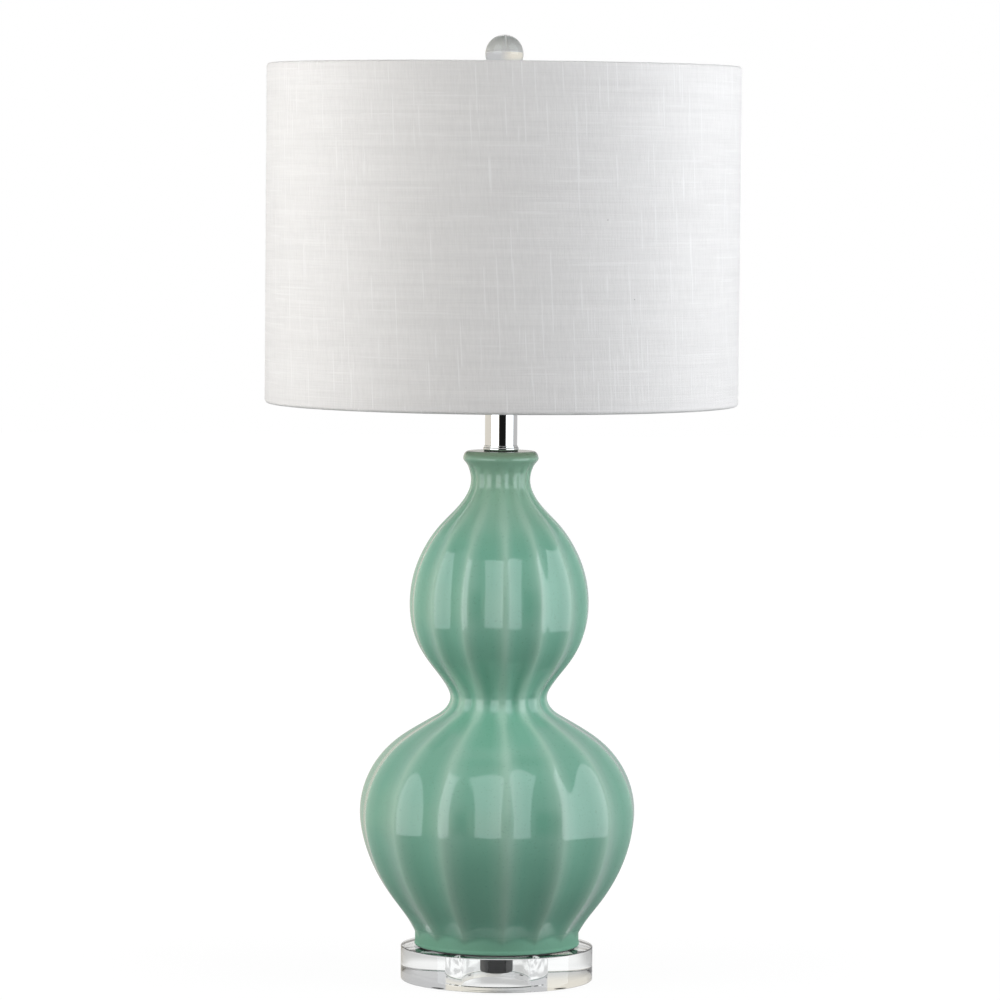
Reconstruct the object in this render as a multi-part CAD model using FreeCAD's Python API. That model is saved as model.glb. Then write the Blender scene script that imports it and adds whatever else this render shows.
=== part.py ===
import FreeCAD, Part
import math
import os
from FreeCAD import Vector

os.makedirs("parts", exist_ok=True)

# A double-gourd table lamp.  Z is up, the lamp's axis is the Z axis, and Z = 0 is the
# table top.  The front of the lamp faces -Y.  All sizes are in millimetres.

# ---------------------------------------------------------------- driving sizes

# clearances
RUNNING_CLEARANCE = 0.05      # radial, between pieces that turn or slide on each other
PASS_CLEARANCE = 0.3          # radial, where a piece only passes through a hole
SEAT_GAP = 0.1                # between laminated or nested skins
ROLL_GAP = 0.3                # between a ring wire and the cloth rolled over it
TURNING_GAP = 0.3             # beside pieces that turn past each other

# clear base
PAD_HEIGHT = 1.2
PAD_RADIUS = 5.0
PAD_COUNT = 4
PAD_CIRCLE_RADIUS = 60.0
DISC_RADIUS = 72.5
DISC_THICKNESS = 25.4
DISC_EDGE_ROUND = 0.8
RECESS_RADIUS = 26.0
RECESS_WEB = 5.0              # clear plastic left above the recess
GASKET_THICKNESS = 1.0
GASKET_INSET = 1.2            # how far the gasket stays inside the ceramic foot
GASKET_WIDTH = 7.0

# ceramic body, from its own foot upwards
BODY_WALL = 5.0
FOOT_RADIUS = 61.8            # plain band that the crests grow out of
FOOT_RIM_RADIUS = 62.2        # thicker glaze at the very bottom
FOOT_RIM_HEIGHT = 2.4
FOOT_EDGE_ROUND = 0.8
FOOT_OPENING_RADIUS = 51.0
FOOT_SKIRT_HEIGHT = 6.6       # height of the straight opening inside the foot
CREST_INSET = 5.3             # at the foot, the line of the crests lies this far inside
LOW_BULGE_RADIUS = 104.8
LOW_BULGE_RISE = 100.0        # from the foot
WAIST_RADIUS = 36.7
WAIST_RISE = 86.4             # each rise is from the ring below
HIGH_BULGE_RADIUS = 68.1
HIGH_BULGE_RISE = 71.8
NECK_RADIUS = 22.4
NECK_RISE = 92.8
LIP_RADIUS = 28.4
LIP_RISE = 16.6
CROWN_RADIUS = 24.5           # flat top inside the rolled lip
CROWN_RISE = 5.8
CROWN_THICKNESS = 7.0

# ribs and flutes of the ceramic; a flute's middle faces the back
RIB_COUNT = 15
WIDE_FLUTE = 27.5             # degrees; the flute left of the front rib, the others are alike
FLUTE_DEPTH = 3.5             # at the lower bulge
FLUTE_DEPTH_POWER = 0.85      # how the depth falls with the radius
BULGE_FLUTE_SHAPE = 1.15      # near 1 leaves narrow crests between hollow panels
WAIST_FLUTE_SHAPE = 3.0       # about 3 leaves round reeds between narrow grooves
REEDS_END_RADIUS = 56.0       # the reeds have turned into panels at this crest radius
CREST_ROUND = 0.11            # softness of a crest, as a share of a flute
FOOT_BLEND = 0.5              # softness where the panels run into the foot band
FLUTE_STEPS = 5               # points along half a flute of each section
CREST_CROWDING = 1.5          # how much closer the points lie at a crest
BODY_SECTIONS = 30            # sections from the foot to the neck
LIP_SECTIONS = 9             # sections over the lip
FADE_HIGH = 7.0               # height over which the flutes die out below the lip
FADE_HIGH_END = 3.0           # they are gone this far below the lip's widest ring

# cord inlet at the back of the ceramic
INLET_HEIGHT = 24.0
GROMMET_BORE_RADIUS = 3.2
GROMMET_TUBE_RADIUS = 4.8
GROMMET_FLANGE_RADIUS = 7.2
GROMMET_FLANGE_THICKNESS = 1.6
GROMMET_TAIL = 2.0            # how far it reaches past the wall's inside

# pipe and base hardware
PIPE_RADIUS = 4.9
PIPE_BORE_RADIUS = 3.3
PIPE_TAIL = 1.5               # how far it stands below the nut
PIPE_HEAD = 6.0               # how far it reaches into the socket cap
PIPE_SLOT_HEIGHT = 22.0       # side slot for the wires, above the ceramic's foot
PIPE_SLOT_LENGTH = 12.0
WASHER_RADIUS = 17.0
WASHER_THICKNESS = 1.8
LOCK_WASHER_RADIUS = 10.6
LOCK_WASHER_THICKNESS = 1.4
LOCK_WASHER_SPLIT = 2.0
NUT_FLATS = 21.5
NUT_HEIGHT = 9.5

# neck
NECK_GASKET_THICKNESS = 0.5
NECK_GASKET_RADIUS = 12.8
RING_RADIUS = 13.4
RING_HEIGHT = 2.4
RING_STEP_RADIUS = 12.75
RING_STEP_HEIGHT = 1.2
RING_EDGE_ROUND = 0.7
TUBE_RADIUS = 12.15
TUBE_WALL = 1.0
TUBE_HEIGHT = 38.1
TUBE_CAP_RADIUS = 13.1
TUBE_CAP_THICKNESS = 2.4
TUBE_CAP_SPIGOT = 3.0

# harp
SADDLE_THICKNESS = 1.6
SADDLE_WIDTH = 13.0
SADDLE_HALF_SPAN = 25.4
SADDLE_POST_HEIGHT = 9.0
SADDLE_NUT_RADIUS = 8.0
SADDLE_NUT_HEIGHT = 3.4
HARP_HEIGHT = 228.6
HARP_WIRE_RADIUS = 2.0
HARP_LEG_LENGTH = 18.0        # straight leg above the post
HARP_FLARE_RADIUS = 50.0
HARP_FLARE_ANGLE = 30.0
HARP_SHOULDER_ANGLE = 42.0
HARP_TOP_HALF_FLAT = 7.0
FERRULE_WALL = 1.1
FERRULE_LENGTH = 12.0
STUD_BOSS_RADIUS = 4.6
STUD_BOSS_HEIGHT = 7.0
STUD_FLANGE_RADIUS = 8.0
STUD_FLANGE_THICKNESS = 1.4
STUD_RADIUS = 3.1
STUD_HEIGHT = 6.2

# socket
CAP_RADIUS = 17.3
CAP_WALL = 0.75
CAP_HEIGHT = 17.0
CAP_HUB_RADIUS = 7.5
CAP_HUB_HEIGHT = 4.6
CAP_GAP = 0.8                 # over the saddle nut
SHELL_HEIGHT = 46.0
SHELL_WALL = 0.6
SHELL_LAP = 5.0               # how far the shell sits inside the cap
INSULATOR_WALL = 0.8
SWITCH_BODY_HEIGHT = 19.0
SWITCH_BODY_WALL_GAP = 0.4
SCREW_SHELL_WALL = 0.4
SCREW_SHELL_LENGTH = 22.0
CONTACT_RADIUS = 4.0
CONTACT_HEIGHT = 1.6
TERMINAL_RADIUS = 2.4
TERMINAL_HEIGHT = 1.6
TERMINAL_SPREAD = 9.0
SWITCH_STEM_RADIUS = 1.5
SWITCH_STEM_DEPTH = 5.0       # how far it reaches into the switch body
SWITCH_KNOB_RADIUS = 5.2
SWITCH_KNOB_LENGTH = 11.0
SWITCH_KNOB_STANDOFF = 4.0
SWITCH_KNOB_RIBS = 12

# bulb
BULB_THREAD_RADIUS = 13.0
BULB_THREAD_LENGTH = 20.0
BULB_TIP_HEIGHT = 3.0
BULB_TIP_RADIUS = 4.6
BULB_NECK_RADIUS = 13.8
BULB_RADIUS = 30.0
BULB_HEIGHT = 84.0            # glass above the screw base
BULB_WALL = 0.8

# shade
SHADE_RADIUS = 177.8
SHADE_HEIGHT = 254.0
CLOTH_THICKNESS = 0.6
LINER_THICKNESS = 0.5
RING_WIRE_RADIUS = 1.6
HEM_FLAP = 10.0
LINER_MARGIN = 0.3            # below the ring wire
SPIDER_ARMS = 3
SPIDER_PHASE = 90.0           # degrees; one arm points to the back
SPIDER_RISE = 11.4            # from the hub's middle to the ring's middle
SPIDER_SLOPE_RUN = 137.3      # length over which the arms slope; inside it they are level
HUB_RADIUS = 16.0
HUB_THICKNESS = 1.2
SEAM_WIDTH = 12.0
SEAM_THICKNESS = 0.5

# finial
FINIAL_FOOT_RADIUS = 8.2
FINIAL_FOOT_HEIGHT = 2.0
FINIAL_STEM_RADIUS = 5.4
FINIAL_CUP_RADIUS = 8.6
FINIAL_CUP_HEIGHT = 9.6
BALL_RADIUS = 14.3
BALL_SEAT = 7.3               # the ball's lowest point above the finial's foot

# ---------------------------------------------------------------- heights that follow

DISC_BOTTOM = PAD_HEIGHT
DISC_TOP = DISC_BOTTOM + DISC_THICKNESS
RECESS_TOP = DISC_TOP - RECESS_WEB
BODY_FOOT = DISC_TOP + GASKET_THICKNESS
LOW_BULGE_HEIGHT = LOW_BULGE_RISE                      # these six are above the foot
WAIST_HEIGHT = LOW_BULGE_HEIGHT + WAIST_RISE
HIGH_BULGE_HEIGHT = WAIST_HEIGHT + HIGH_BULGE_RISE
NECK_HEIGHT = HIGH_BULGE_HEIGHT + NECK_RISE
LIP_HEIGHT = NECK_HEIGHT + LIP_RISE
BODY_HEIGHT = LIP_HEIGHT + CROWN_RISE
BODY_TOP = BODY_FOOT + BODY_HEIGHT
RING_BOTTOM = BODY_TOP + NECK_GASKET_THICKNESS
TUBE_BOTTOM = RING_BOTTOM + RING_HEIGHT + RING_STEP_HEIGHT
TUBE_TOP = TUBE_BOTTOM + TUBE_HEIGHT
SADDLE_BOTTOM = TUBE_TOP + TUBE_CAP_THICKNESS
SADDLE_TOP = SADDLE_BOTTOM + SADDLE_THICKNESS
CAP_BOTTOM = SADDLE_TOP + SADDLE_NUT_HEIGHT + CAP_GAP
CAP_TOP = CAP_BOTTOM + CAP_HEIGHT
SHELL_BOTTOM = CAP_TOP - SHELL_LAP
SHELL_TOP = SHELL_BOTTOM + SHELL_HEIGHT
SWITCH_TOP = SHELL_BOTTOM + SWITCH_BODY_HEIGHT
SWITCH_AXIS = SHELL_BOTTOM + SHELL_LAP + SWITCH_KNOB_RADIUS + TURNING_GAP
CONTACT_TOP = SWITCH_TOP + CONTACT_HEIGHT
BULB_BASE_BOTTOM = CONTACT_TOP + SEAT_GAP + BULB_TIP_HEIGHT
BULB_BASE_TOP = BULB_BASE_BOTTOM + BULB_THREAD_LENGTH
SEAT_TOP = SADDLE_TOP + HARP_HEIGHT
HUB_TOP = SEAT_TOP + HUB_THICKNESS
RING_LEVEL = SEAT_TOP + HUB_THICKNESS / 2 + SPIDER_RISE
HEM_RADIUS = RING_WIRE_RADIUS + ROLL_GAP + CLOTH_THICKNESS
SHADE_TOP = RING_LEVEL + HEM_RADIUS
SHADE_BOTTOM = SHADE_TOP - SHADE_HEIGHT
RING_CIRCLE_RADIUS = SHADE_RADIUS - HEM_RADIUS
SPIDER_LEVEL_RADIUS = RING_CIRCLE_RADIUS - SPIDER_SLOPE_RUN
BALL_MIDDLE = HUB_TOP + BALL_SEAT + BALL_RADIUS

RIB_PITCH = (360.0 - WIDE_FLUTE) / (RIB_COUNT - 1)     # degrees, from rib to rib
SHELL_RADIUS = CAP_RADIUS - CAP_WALL - RUNNING_CLEARANCE
INSULATOR_RADIUS = SHELL_RADIUS - SHELL_WALL - RUNNING_CLEARANCE
SWITCH_BODY_RADIUS = INSULATOR_RADIUS - INSULATOR_WALL - SWITCH_BODY_WALL_GAP
SCREW_SHELL_BORE = BULB_THREAD_RADIUS + RUNNING_CLEARANCE

Z_AXIS = Vector(0, 0, 1)
ORIGIN = Vector(0, 0, 0)


# ---------------------------------------------------------------- helpers

def save(name, shape):
    """Write one sub-part, after a check that it is sound."""
    if not shape.isValid() or shape.Volume <= 0:
        raise ValueError("unsound shape: " + name)
    shape.exportStep(os.path.join("parts", name + ".step"))


def rod(radius, low, high, x=0.0, y=0.0):
    """A round bar along Z between two heights."""
    return Part.makeCylinder(radius, high - low, Vector(x, y, low))


def ring(outer, inner, low, high, x=0.0, y=0.0):
    """A round bar along Z with a hole through it."""
    return rod(outer, low, high, x, y).cut(rod(inner, low - 1, high + 1, x, y))


def turned(outline):
    """A solid of revolution from corner points (radius, height)."""
    points = [Vector(r, 0, z) for r, z in outline]
    points.append(points[0])
    return Part.Face(Part.makePolygon(points)).revolve(ORIGIN, Z_AXIS, 360)


def turned_edges(edges):
    """A solid of revolution from joined edges in the XZ plane."""
    return Part.Face(Part.Wire(edges)).revolve(ORIGIN, Z_AXIS, 360)


def line(a, b):
    """An edge between two points of the XZ plane, each (x, z)."""
    return Part.makeLine(Vector(a[0], 0, a[1]), Vector(b[0], 0, b[1]))


def arc(a, b, c):
    """An arc through three points of the XZ plane, each (x, z)."""
    return Part.Arc(*[Vector(p[0], 0, p[1]) for p in (a, b, c)]).toShape()


def circles_at(shape, height, radius=None):
    """The round edges of a turned piece that lie level at one height."""
    found = []
    for edge in shape.Edges:
        box = edge.BoundBox
        level = abs(box.ZMin - height) < 1e-6 and abs(box.ZMax - height) < 1e-6
        if level and (radius is None or abs(box.XMax - radius) < 1e-3):
            found.append(edge)
    return found


def rounded(shape, size, places):
    """Round the level edges of a turned piece at (height, radius) places."""
    edges = []
    for height, radius in places:
        edges += circles_at(shape, height, radius)
    return shape.makeFillet(size, edges)


def hexagon(flats, low, high):
    """A six-sided bar along Z, measured across its flats."""
    corner = flats / math.sqrt(3)
    points = []
    for side in range(7):
        turn = math.radians(60 * side)
        points.append(Vector(corner * math.cos(turn), corner * math.sin(turn), low))
    return Part.Face(Part.makePolygon(points)).extrude(Vector(0, 0, high - low))


def nut(flats, low, high):
    """A hexagon nut with its corners turned down at both ends."""
    corner = flats / math.sqrt(3)
    turn_down = (corner - flats / 2) * 0.6
    blank = turned([(0, low), (corner - turn_down, low), (corner, low + turn_down),
                    (corner, high - turn_down), (corner - turn_down, high), (0, high)])
    bore = rod(PIPE_RADIUS + RUNNING_CLEARANCE, low - 1, high + 1)
    return hexagon(flats, low, high).common(blank).cut(bore)


def wire_solid(path, radius):
    """Round wire along a path whose first edge starts it square."""
    start = path.Edges[0].valueAt(path.Edges[0].FirstParameter)
    along = path.Edges[0].tangentAt(path.Edges[0].FirstParameter)
    section = Part.Wire(Part.makeCircle(radius, start, along))
    return path.makePipeShell([section], True, False)


# ---------------------------------------------------------------- clear base

def bumper_pads():
    """Low clear pads under the disc, slightly coned."""
    pads = []
    for index in range(PAD_COUNT):
        turn = math.radians(45 + 360 * index / PAD_COUNT)
        place = Vector(PAD_CIRCLE_RADIUS * math.cos(turn), PAD_CIRCLE_RADIUS * math.sin(turn), 0)
        pads.append(Part.makeCone(PAD_RADIUS - PAD_HEIGHT / 3, PAD_RADIUS, PAD_HEIGHT, place))
    return Part.makeCompound(pads)


def base_disc():
    """Thick clear disc, hollowed below to take the nut, drilled for the pipe."""
    disc = rod(DISC_RADIUS, DISC_BOTTOM, DISC_TOP)
    disc = rounded(disc, DISC_EDGE_ROUND, [(DISC_BOTTOM, DISC_RADIUS), (DISC_TOP, DISC_RADIUS)])
    disc = disc.cut(rod(RECESS_RADIUS, DISC_BOTTOM - 1, RECESS_TOP))
    return disc.cut(rod(PIPE_RADIUS + PASS_CLEARANCE, DISC_BOTTOM, DISC_TOP + 1))


def foot_gasket():
    """Thin soft ring between the ceramic foot and the disc."""
    outer = FOOT_RADIUS - GASKET_INSET
    return ring(outer, outer - GASKET_WIDTH, DISC_TOP, BODY_FOOT)


# ---------------------------------------------------------------- ceramic body

# Each span of the crest outline runs between two of the named rings.  Its inner points
# are (share of the height, share of the change in radius).
BELLY_POINTS = ((0.066, 0.09), (0.164, 0.208), (0.343, 0.484), (0.582, 0.785), (0.762, 0.925))
LOW_SHOULDER_POINTS = ((0.343, 0.107), (0.618, 0.386), (0.759, 0.65), (0.834, 0.815), (0.91, 0.948))
HIGH_BELLY_POINTS = ((0.148, 0.124), (0.40, 0.567), (0.65, 0.873))
HIGH_SHOULDER_POINTS = ((0.247, 0.07), (0.442, 0.23), (0.638, 0.503), (0.835, 0.869))
THROAT_POINTS = ((0.28, 0.07), (0.62, 0.36), (0.82, 0.68))
LIP_POINTS = ((0.31, 0.05), (0.64, 0.23), (0.88, 0.53))


def crest_stations():
    """Points (radius, height) up the crest of a rib, from the foot to the crown."""
    rings = [(FOOT_RADIUS - CREST_INSET, 0.0), (LOW_BULGE_RADIUS, LOW_BULGE_HEIGHT),
             (WAIST_RADIUS, WAIST_HEIGHT), (HIGH_BULGE_RADIUS, HIGH_BULGE_HEIGHT),
             (NECK_RADIUS, NECK_HEIGHT), (LIP_RADIUS, LIP_HEIGHT), (CROWN_RADIUS, BODY_HEIGHT)]
    spans = (BELLY_POINTS, LOW_SHOULDER_POINTS, HIGH_BELLY_POINTS, HIGH_SHOULDER_POINTS,
             THROAT_POINTS, ())
    stations = [rings[0]]
    for (r0, h0), (r1, h1), inner in zip(rings, rings[1:], spans):
        stations += [(r0 + (r1 - r0) * part_r, h0 + (h1 - h0) * part_h) for part_h, part_r in inner]
        stations.append((r1, h1))
    crown = stations.pop()
    lip = stations[-1]
    for part_h, part_r in LIP_POINTS:
        stations.append((lip[0] + (crown[0] - lip[0]) * part_r, lip[1] + (crown[1] - lip[1]) * part_h))
    stations.append(crown)
    return stations


def spline(stations):
    """A smooth curve in the XZ plane through (radius, height) points above the foot."""
    curve = Part.BSplineCurve()
    curve.interpolate([Vector(r, 0, BODY_FOOT + h) for r, h in stations])
    return curve


def ease(value, low, high):
    """Rise smoothly from 0 at low to 1 at high."""
    share = min(1.0, max(0.0, (value - low) / (high - low)))
    return share * share * (3 - 2 * share)


def flute_dip(radius, height, share):
    """How far the surface lies below the crest; share is 0 on a rib, 1 in a flute's middle."""
    across = math.sin(math.radians(90 * share))
    panel = ease(radius, WAIST_RADIUS, REEDS_END_RADIUS)
    power = (WAIST_FLUTE_SHAPE + (BULGE_FLUTE_SHAPE - WAIST_FLUTE_SHAPE) * panel) / 2
    crest = CREST_ROUND ** (2 * power)
    cut = (across ** 2 + CREST_ROUND ** 2) ** power - crest
    cut /= (1 + CREST_ROUND ** 2) ** power - crest
    fade_end = LIP_HEIGHT - FADE_HIGH_END
    fade = 1 - ease(height, fade_end - FADE_HIGH, fade_end)
    return FLUTE_DEPTH * (radius / LOW_BULGE_RADIUS) ** FLUTE_DEPTH_POWER * cut * fade


def skin_radius(crest, height, share):
    """Radius of the ribbed skin, never inside the foot band, which it runs into."""
    cut = crest - flute_dip(crest, height, share)
    return (cut + FOOT_RADIUS + math.hypot(cut - FOOT_RADIUS, FOOT_BLEND)) / 2 \
        if height < LOW_BULGE_HEIGHT else cut


def section(point):
    """Closed level outline of the ribbed skin at one point of the crest curve."""
    poles = []
    for index in range(RIB_COUNT):
        rib = 180 + (index - RIB_COUNT / 2) * RIB_PITCH
        before = WIDE_FLUTE if index == 0 else RIB_PITCH
        after = WIDE_FLUTE if index == RIB_COUNT - 1 else RIB_PITCH
        for step in range(-FLUTE_STEPS, FLUTE_STEPS):
            share = math.copysign(abs(step / FLUTE_STEPS) ** CREST_CROWDING, step)
            radius = skin_radius(point.x, point.z - BODY_FOOT, share)
            angle = math.radians(rib + share * (before if step < 0 else after) / 2 - 90)
            poles.append(Vector(radius * math.cos(angle), radius * math.sin(angle), point.z))
    outline = Part.BSplineCurve()
    outline.buildFromPoles(poles, True, 3)
    return Part.Wire(outline.toShape())


def fluted_skin():
    """The closed outer form of the ribbed body, from the foot to the top of the lip."""
    curve = spline(crest_stations())
    lip_start = curve.parameter(Vector(NECK_RADIUS, 0, BODY_FOOT + NECK_HEIGHT))
    first, last = curve.FirstParameter, curve.LastParameter
    params = [first + (lip_start - first) * k / BODY_SECTIONS for k in range(BODY_SECTIONS)]
    params += [lip_start + (last - lip_start) * k / LIP_SECTIONS for k in range(LIP_SECTIONS + 1)]
    return Part.makeLoft([section(curve.value(p)) for p in params], True, False)


def cavity():
    """The hollow inside the body, open at the foot, closed under the crown."""
    inset = BODY_WALL + FLUTE_DEPTH
    ceiling = BODY_HEIGHT - CROWN_THICKNESS
    stations = [(FOOT_OPENING_RADIUS, FOOT_SKIRT_HEIGHT)]
    for r, h in crest_stations():
        if 2 * FOOT_SKIRT_HEIGHT < h < NECK_HEIGHT:
            stations.append((r - inset, h))
    stations.append((NECK_RADIUS - inset, NECK_HEIGHT))
    wall = spline(stations)
    base = BODY_FOOT
    top_radius = NECK_RADIUS - inset
    edges = [line((0, base - 1), (FOOT_OPENING_RADIUS, base - 1)),
             line((FOOT_OPENING_RADIUS, base - 1), (FOOT_OPENING_RADIUS, base + FOOT_SKIRT_HEIGHT)),
             wall.toShape(),
             line((top_radius, base + NECK_HEIGHT), (top_radius, base + ceiling)),
             line((top_radius, base + ceiling), (0, base + ceiling)),
             line((0, base + ceiling), (0, base - 1))]
    return turned_edges(edges)


def inlet_frame():
    """Seat point and outward direction of the cord inlet at the back of the body."""
    curve = spline(crest_stations())
    low, high = curve.FirstParameter, curve.parameter(
        Vector(LOW_BULGE_RADIUS, 0, BODY_FOOT + LOW_BULGE_HEIGHT))
    for _ in range(40):
        middle = (low + high) / 2
        if curve.value(middle).z < BODY_FOOT + INLET_HEIGHT:
            low = middle
        else:
            high = middle
    point = curve.value(low)
    slope = curve.tangent(low)[0]
    out = Vector(0, slope.z, -slope.x)
    out.normalize()
    depth = flute_dip(point.x, INLET_HEIGHT, 1) + GROMMET_FLANGE_THICKNESS / 2
    return Vector(0, point.x, point.z) - out * depth, out


def ceramic_body():
    """Hollow glazed body with its foot rim, crown hole and seated cord inlet."""
    rim = rod(FOOT_RIM_RADIUS, BODY_FOOT, BODY_FOOT + FOOT_RIM_HEIGHT)
    rim = rounded(rim, FOOT_EDGE_ROUND, [(BODY_FOOT, FOOT_RIM_RADIUS)])
    body = fluted_skin().fuse(rim).cut(cavity())
    body = body.cut(rod(PIPE_RADIUS + PASS_CLEARANCE, BODY_FOOT, BODY_TOP + 1))
    seat, out = inlet_frame()
    hole = Part.makeCylinder(GROMMET_TUBE_RADIUS + RUNNING_CLEARANCE, 60, seat - out * 30, out)
    spot = Part.makeCylinder(GROMMET_FLANGE_RADIUS + RUNNING_CLEARANCE, 20, seat, out)
    return body.cut(hole.fuse(spot))


def cord_grommet():
    """Flanged bush in the back of the body where a cord comes in."""
    seat, out = inlet_frame()
    inward = BODY_WALL + GROMMET_TAIL
    tail = seat - out * inward
    tube = Part.makeCylinder(GROMMET_TUBE_RADIUS, inward, tail, out)
    flange = Part.makeCylinder(GROMMET_FLANGE_RADIUS, GROMMET_FLANGE_THICKNESS, seat, out)
    rim = [e for e in flange.Edges if (e.BoundBox.Center - seat).dot(out) > GROMMET_FLANGE_THICKNESS / 2
           and e.Length > 6 * GROMMET_TUBE_RADIUS]
    flange = flange.makeFillet(GROMMET_FLANGE_THICKNESS / 2, rim)
    bore = Part.makeCylinder(GROMMET_BORE_RADIUS, 40, seat - out * 20, out)
    return tube.fuse(flange).cut(bore).removeSplitter()


# ---------------------------------------------------------------- pipe and base hardware

NUT_TOP = RECESS_TOP - WASHER_THICKNESS - LOCK_WASHER_THICKNESS
NUT_BOTTOM = NUT_TOP - NUT_HEIGHT


def threaded_pipe():
    """Hollow pipe that ties the lamp together, slotted at the side for the wires."""
    low = NUT_BOTTOM - PIPE_TAIL
    high = CAP_BOTTOM + PIPE_HEAD
    pipe = ring(PIPE_RADIUS, PIPE_BORE_RADIUS, low, high)
    slot_low = BODY_FOOT + PIPE_SLOT_HEIGHT
    slot = Part.makeBox(2 * PIPE_BORE_RADIUS, PIPE_RADIUS * 2, PIPE_SLOT_LENGTH,
                        Vector(-PIPE_BORE_RADIUS, 0, slot_low))
    return pipe.cut(slot)


def base_washer():
    return ring(WASHER_RADIUS, PIPE_RADIUS + PASS_CLEARANCE, RECESS_TOP - WASHER_THICKNESS, RECESS_TOP)


def base_lock_washer():
    """Split spring washer."""
    low = NUT_TOP
    washer = ring(LOCK_WASHER_RADIUS, PIPE_RADIUS + PASS_CLEARANCE, low, low + LOCK_WASHER_THICKNESS)
    gap = Part.makeBox(LOCK_WASHER_RADIUS + 1, LOCK_WASHER_SPLIT, LOCK_WASHER_THICKNESS + 2,
                       Vector(0, -LOCK_WASHER_SPLIT / 2, low - 1))
    return washer.cut(gap)


def base_nut():
    return nut(NUT_FLATS, NUT_BOTTOM, NUT_TOP)


# ---------------------------------------------------------------- neck

def neck_gasket():
    return ring(NECK_GASKET_RADIUS, PIPE_RADIUS + PASS_CLEARANCE, BODY_TOP, RING_BOTTOM)


def neck_ring():
    """Polished ring on the crown, with a smaller step that carries the tube."""
    step_low = RING_BOTTOM + RING_HEIGHT
    lower = rod(RING_RADIUS, RING_BOTTOM, step_low)
    lower = rounded(lower, RING_EDGE_ROUND, [(RING_BOTTOM, RING_RADIUS), (step_low, RING_RADIUS)])
    step = rod(RING_STEP_RADIUS, step_low, TUBE_BOTTOM)
    step = rounded(step, RING_STEP_HEIGHT / 3, [(TUBE_BOTTOM, RING_STEP_RADIUS)])
    spigot = rod(TUBE_RADIUS - TUBE_WALL - RUNNING_CLEARANCE, step_low, TUBE_BOTTOM + TUBE_CAP_SPIGOT)
    bore = rod(PIPE_RADIUS + PASS_CLEARANCE, RING_BOTTOM - 1, TUBE_TOP)
    return lower.fuse(step).fuse(spigot).cut(bore).removeSplitter()


def neck_tube():
    return ring(TUBE_RADIUS, TUBE_RADIUS - TUBE_WALL, TUBE_BOTTOM, TUBE_TOP)


def neck_cap():
    """Disc that closes the tube's top, with a spigot inside it."""
    disc = rod(TUBE_CAP_RADIUS, TUBE_TOP, SADDLE_BOTTOM)
    disc = rounded(disc, RING_EDGE_ROUND, [(SADDLE_BOTTOM, TUBE_CAP_RADIUS)])
    spigot = rod(TUBE_RADIUS - TUBE_WALL - RUNNING_CLEARANCE, TUBE_TOP - TUBE_CAP_SPIGOT, TUBE_TOP)
    bore = rod(PIPE_RADIUS + PASS_CLEARANCE, TUBE_TOP - 2 * TUBE_CAP_SPIGOT, SADDLE_BOTTOM + 1)
    return disc.fuse(spigot).cut(bore).removeSplitter()


# ---------------------------------------------------------------- harp

def harp_saddle():
    """Flat strip under the socket with two upright posts for the harp."""
    reach = SADDLE_HALF_SPAN
    end = SADDLE_WIDTH / 2
    strip = Part.makeBox(2 * reach, SADDLE_WIDTH, SADDLE_THICKNESS, Vector(-reach, -end, SADDLE_BOTTOM))
    for side in (-1, 1):
        strip = strip.fuse(rod(end, SADDLE_BOTTOM, SADDLE_TOP, side * reach))
    post_low = SADDLE_BOTTOM + SADDLE_THICKNESS / 2
    for side in (-1, 1):
        strip = strip.fuse(rod(HARP_WIRE_RADIUS, post_low, SADDLE_TOP + SADDLE_POST_HEIGHT, side * reach))
    return strip.cut(rod(PIPE_RADIUS + PASS_CLEARANCE, SADDLE_BOTTOM - 1, SADDLE_TOP + 1)).removeSplitter()


def saddle_nut():
    """Knurled-style round nut, plain sided with eased edges."""
    top = SADDLE_TOP + SADDLE_NUT_HEIGHT
    disc = rod(SADDLE_NUT_RADIUS, SADDLE_TOP, top)
    disc = disc.makeChamfer(SADDLE_NUT_HEIGHT / 6, circles_at(disc, top, SADDLE_NUT_RADIUS))
    return disc.cut(rod(PIPE_RADIUS + RUNNING_CLEARANCE, SADDLE_TOP - 1, top + 1))


WIRE_TOP = SEAT_TOP - STUD_FLANGE_THICKNESS - STUD_BOSS_HEIGHT / 2


def harp_arcs():
    """Radii of the harp's side and shoulder arcs that make its two halves meet."""
    flare = math.radians(HARP_FLARE_ANGLE)
    shoulder = math.radians(HARP_SHOULDER_ANGLE)
    start = SADDLE_TOP + SADDLE_POST_HEIGHT + HARP_LEG_LENGTH
    rise = WIRE_TOP - start - HARP_FLARE_RADIUS * math.sin(flare)
    run = SADDLE_HALF_SPAN + HARP_FLARE_RADIUS * (1 - math.cos(flare)) - HARP_TOP_HALF_FLAT
    side_rise = math.sin(flare) + math.sin(shoulder)
    side_run = math.cos(shoulder) - math.cos(flare)
    shoulder_rise = 1 - math.sin(shoulder)
    shoulder_run = math.cos(shoulder)
    side = (rise * shoulder_run - run * shoulder_rise) / (side_rise * shoulder_run + side_run * shoulder_rise)
    return side, (rise - side * side_rise) / shoulder_rise


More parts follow.
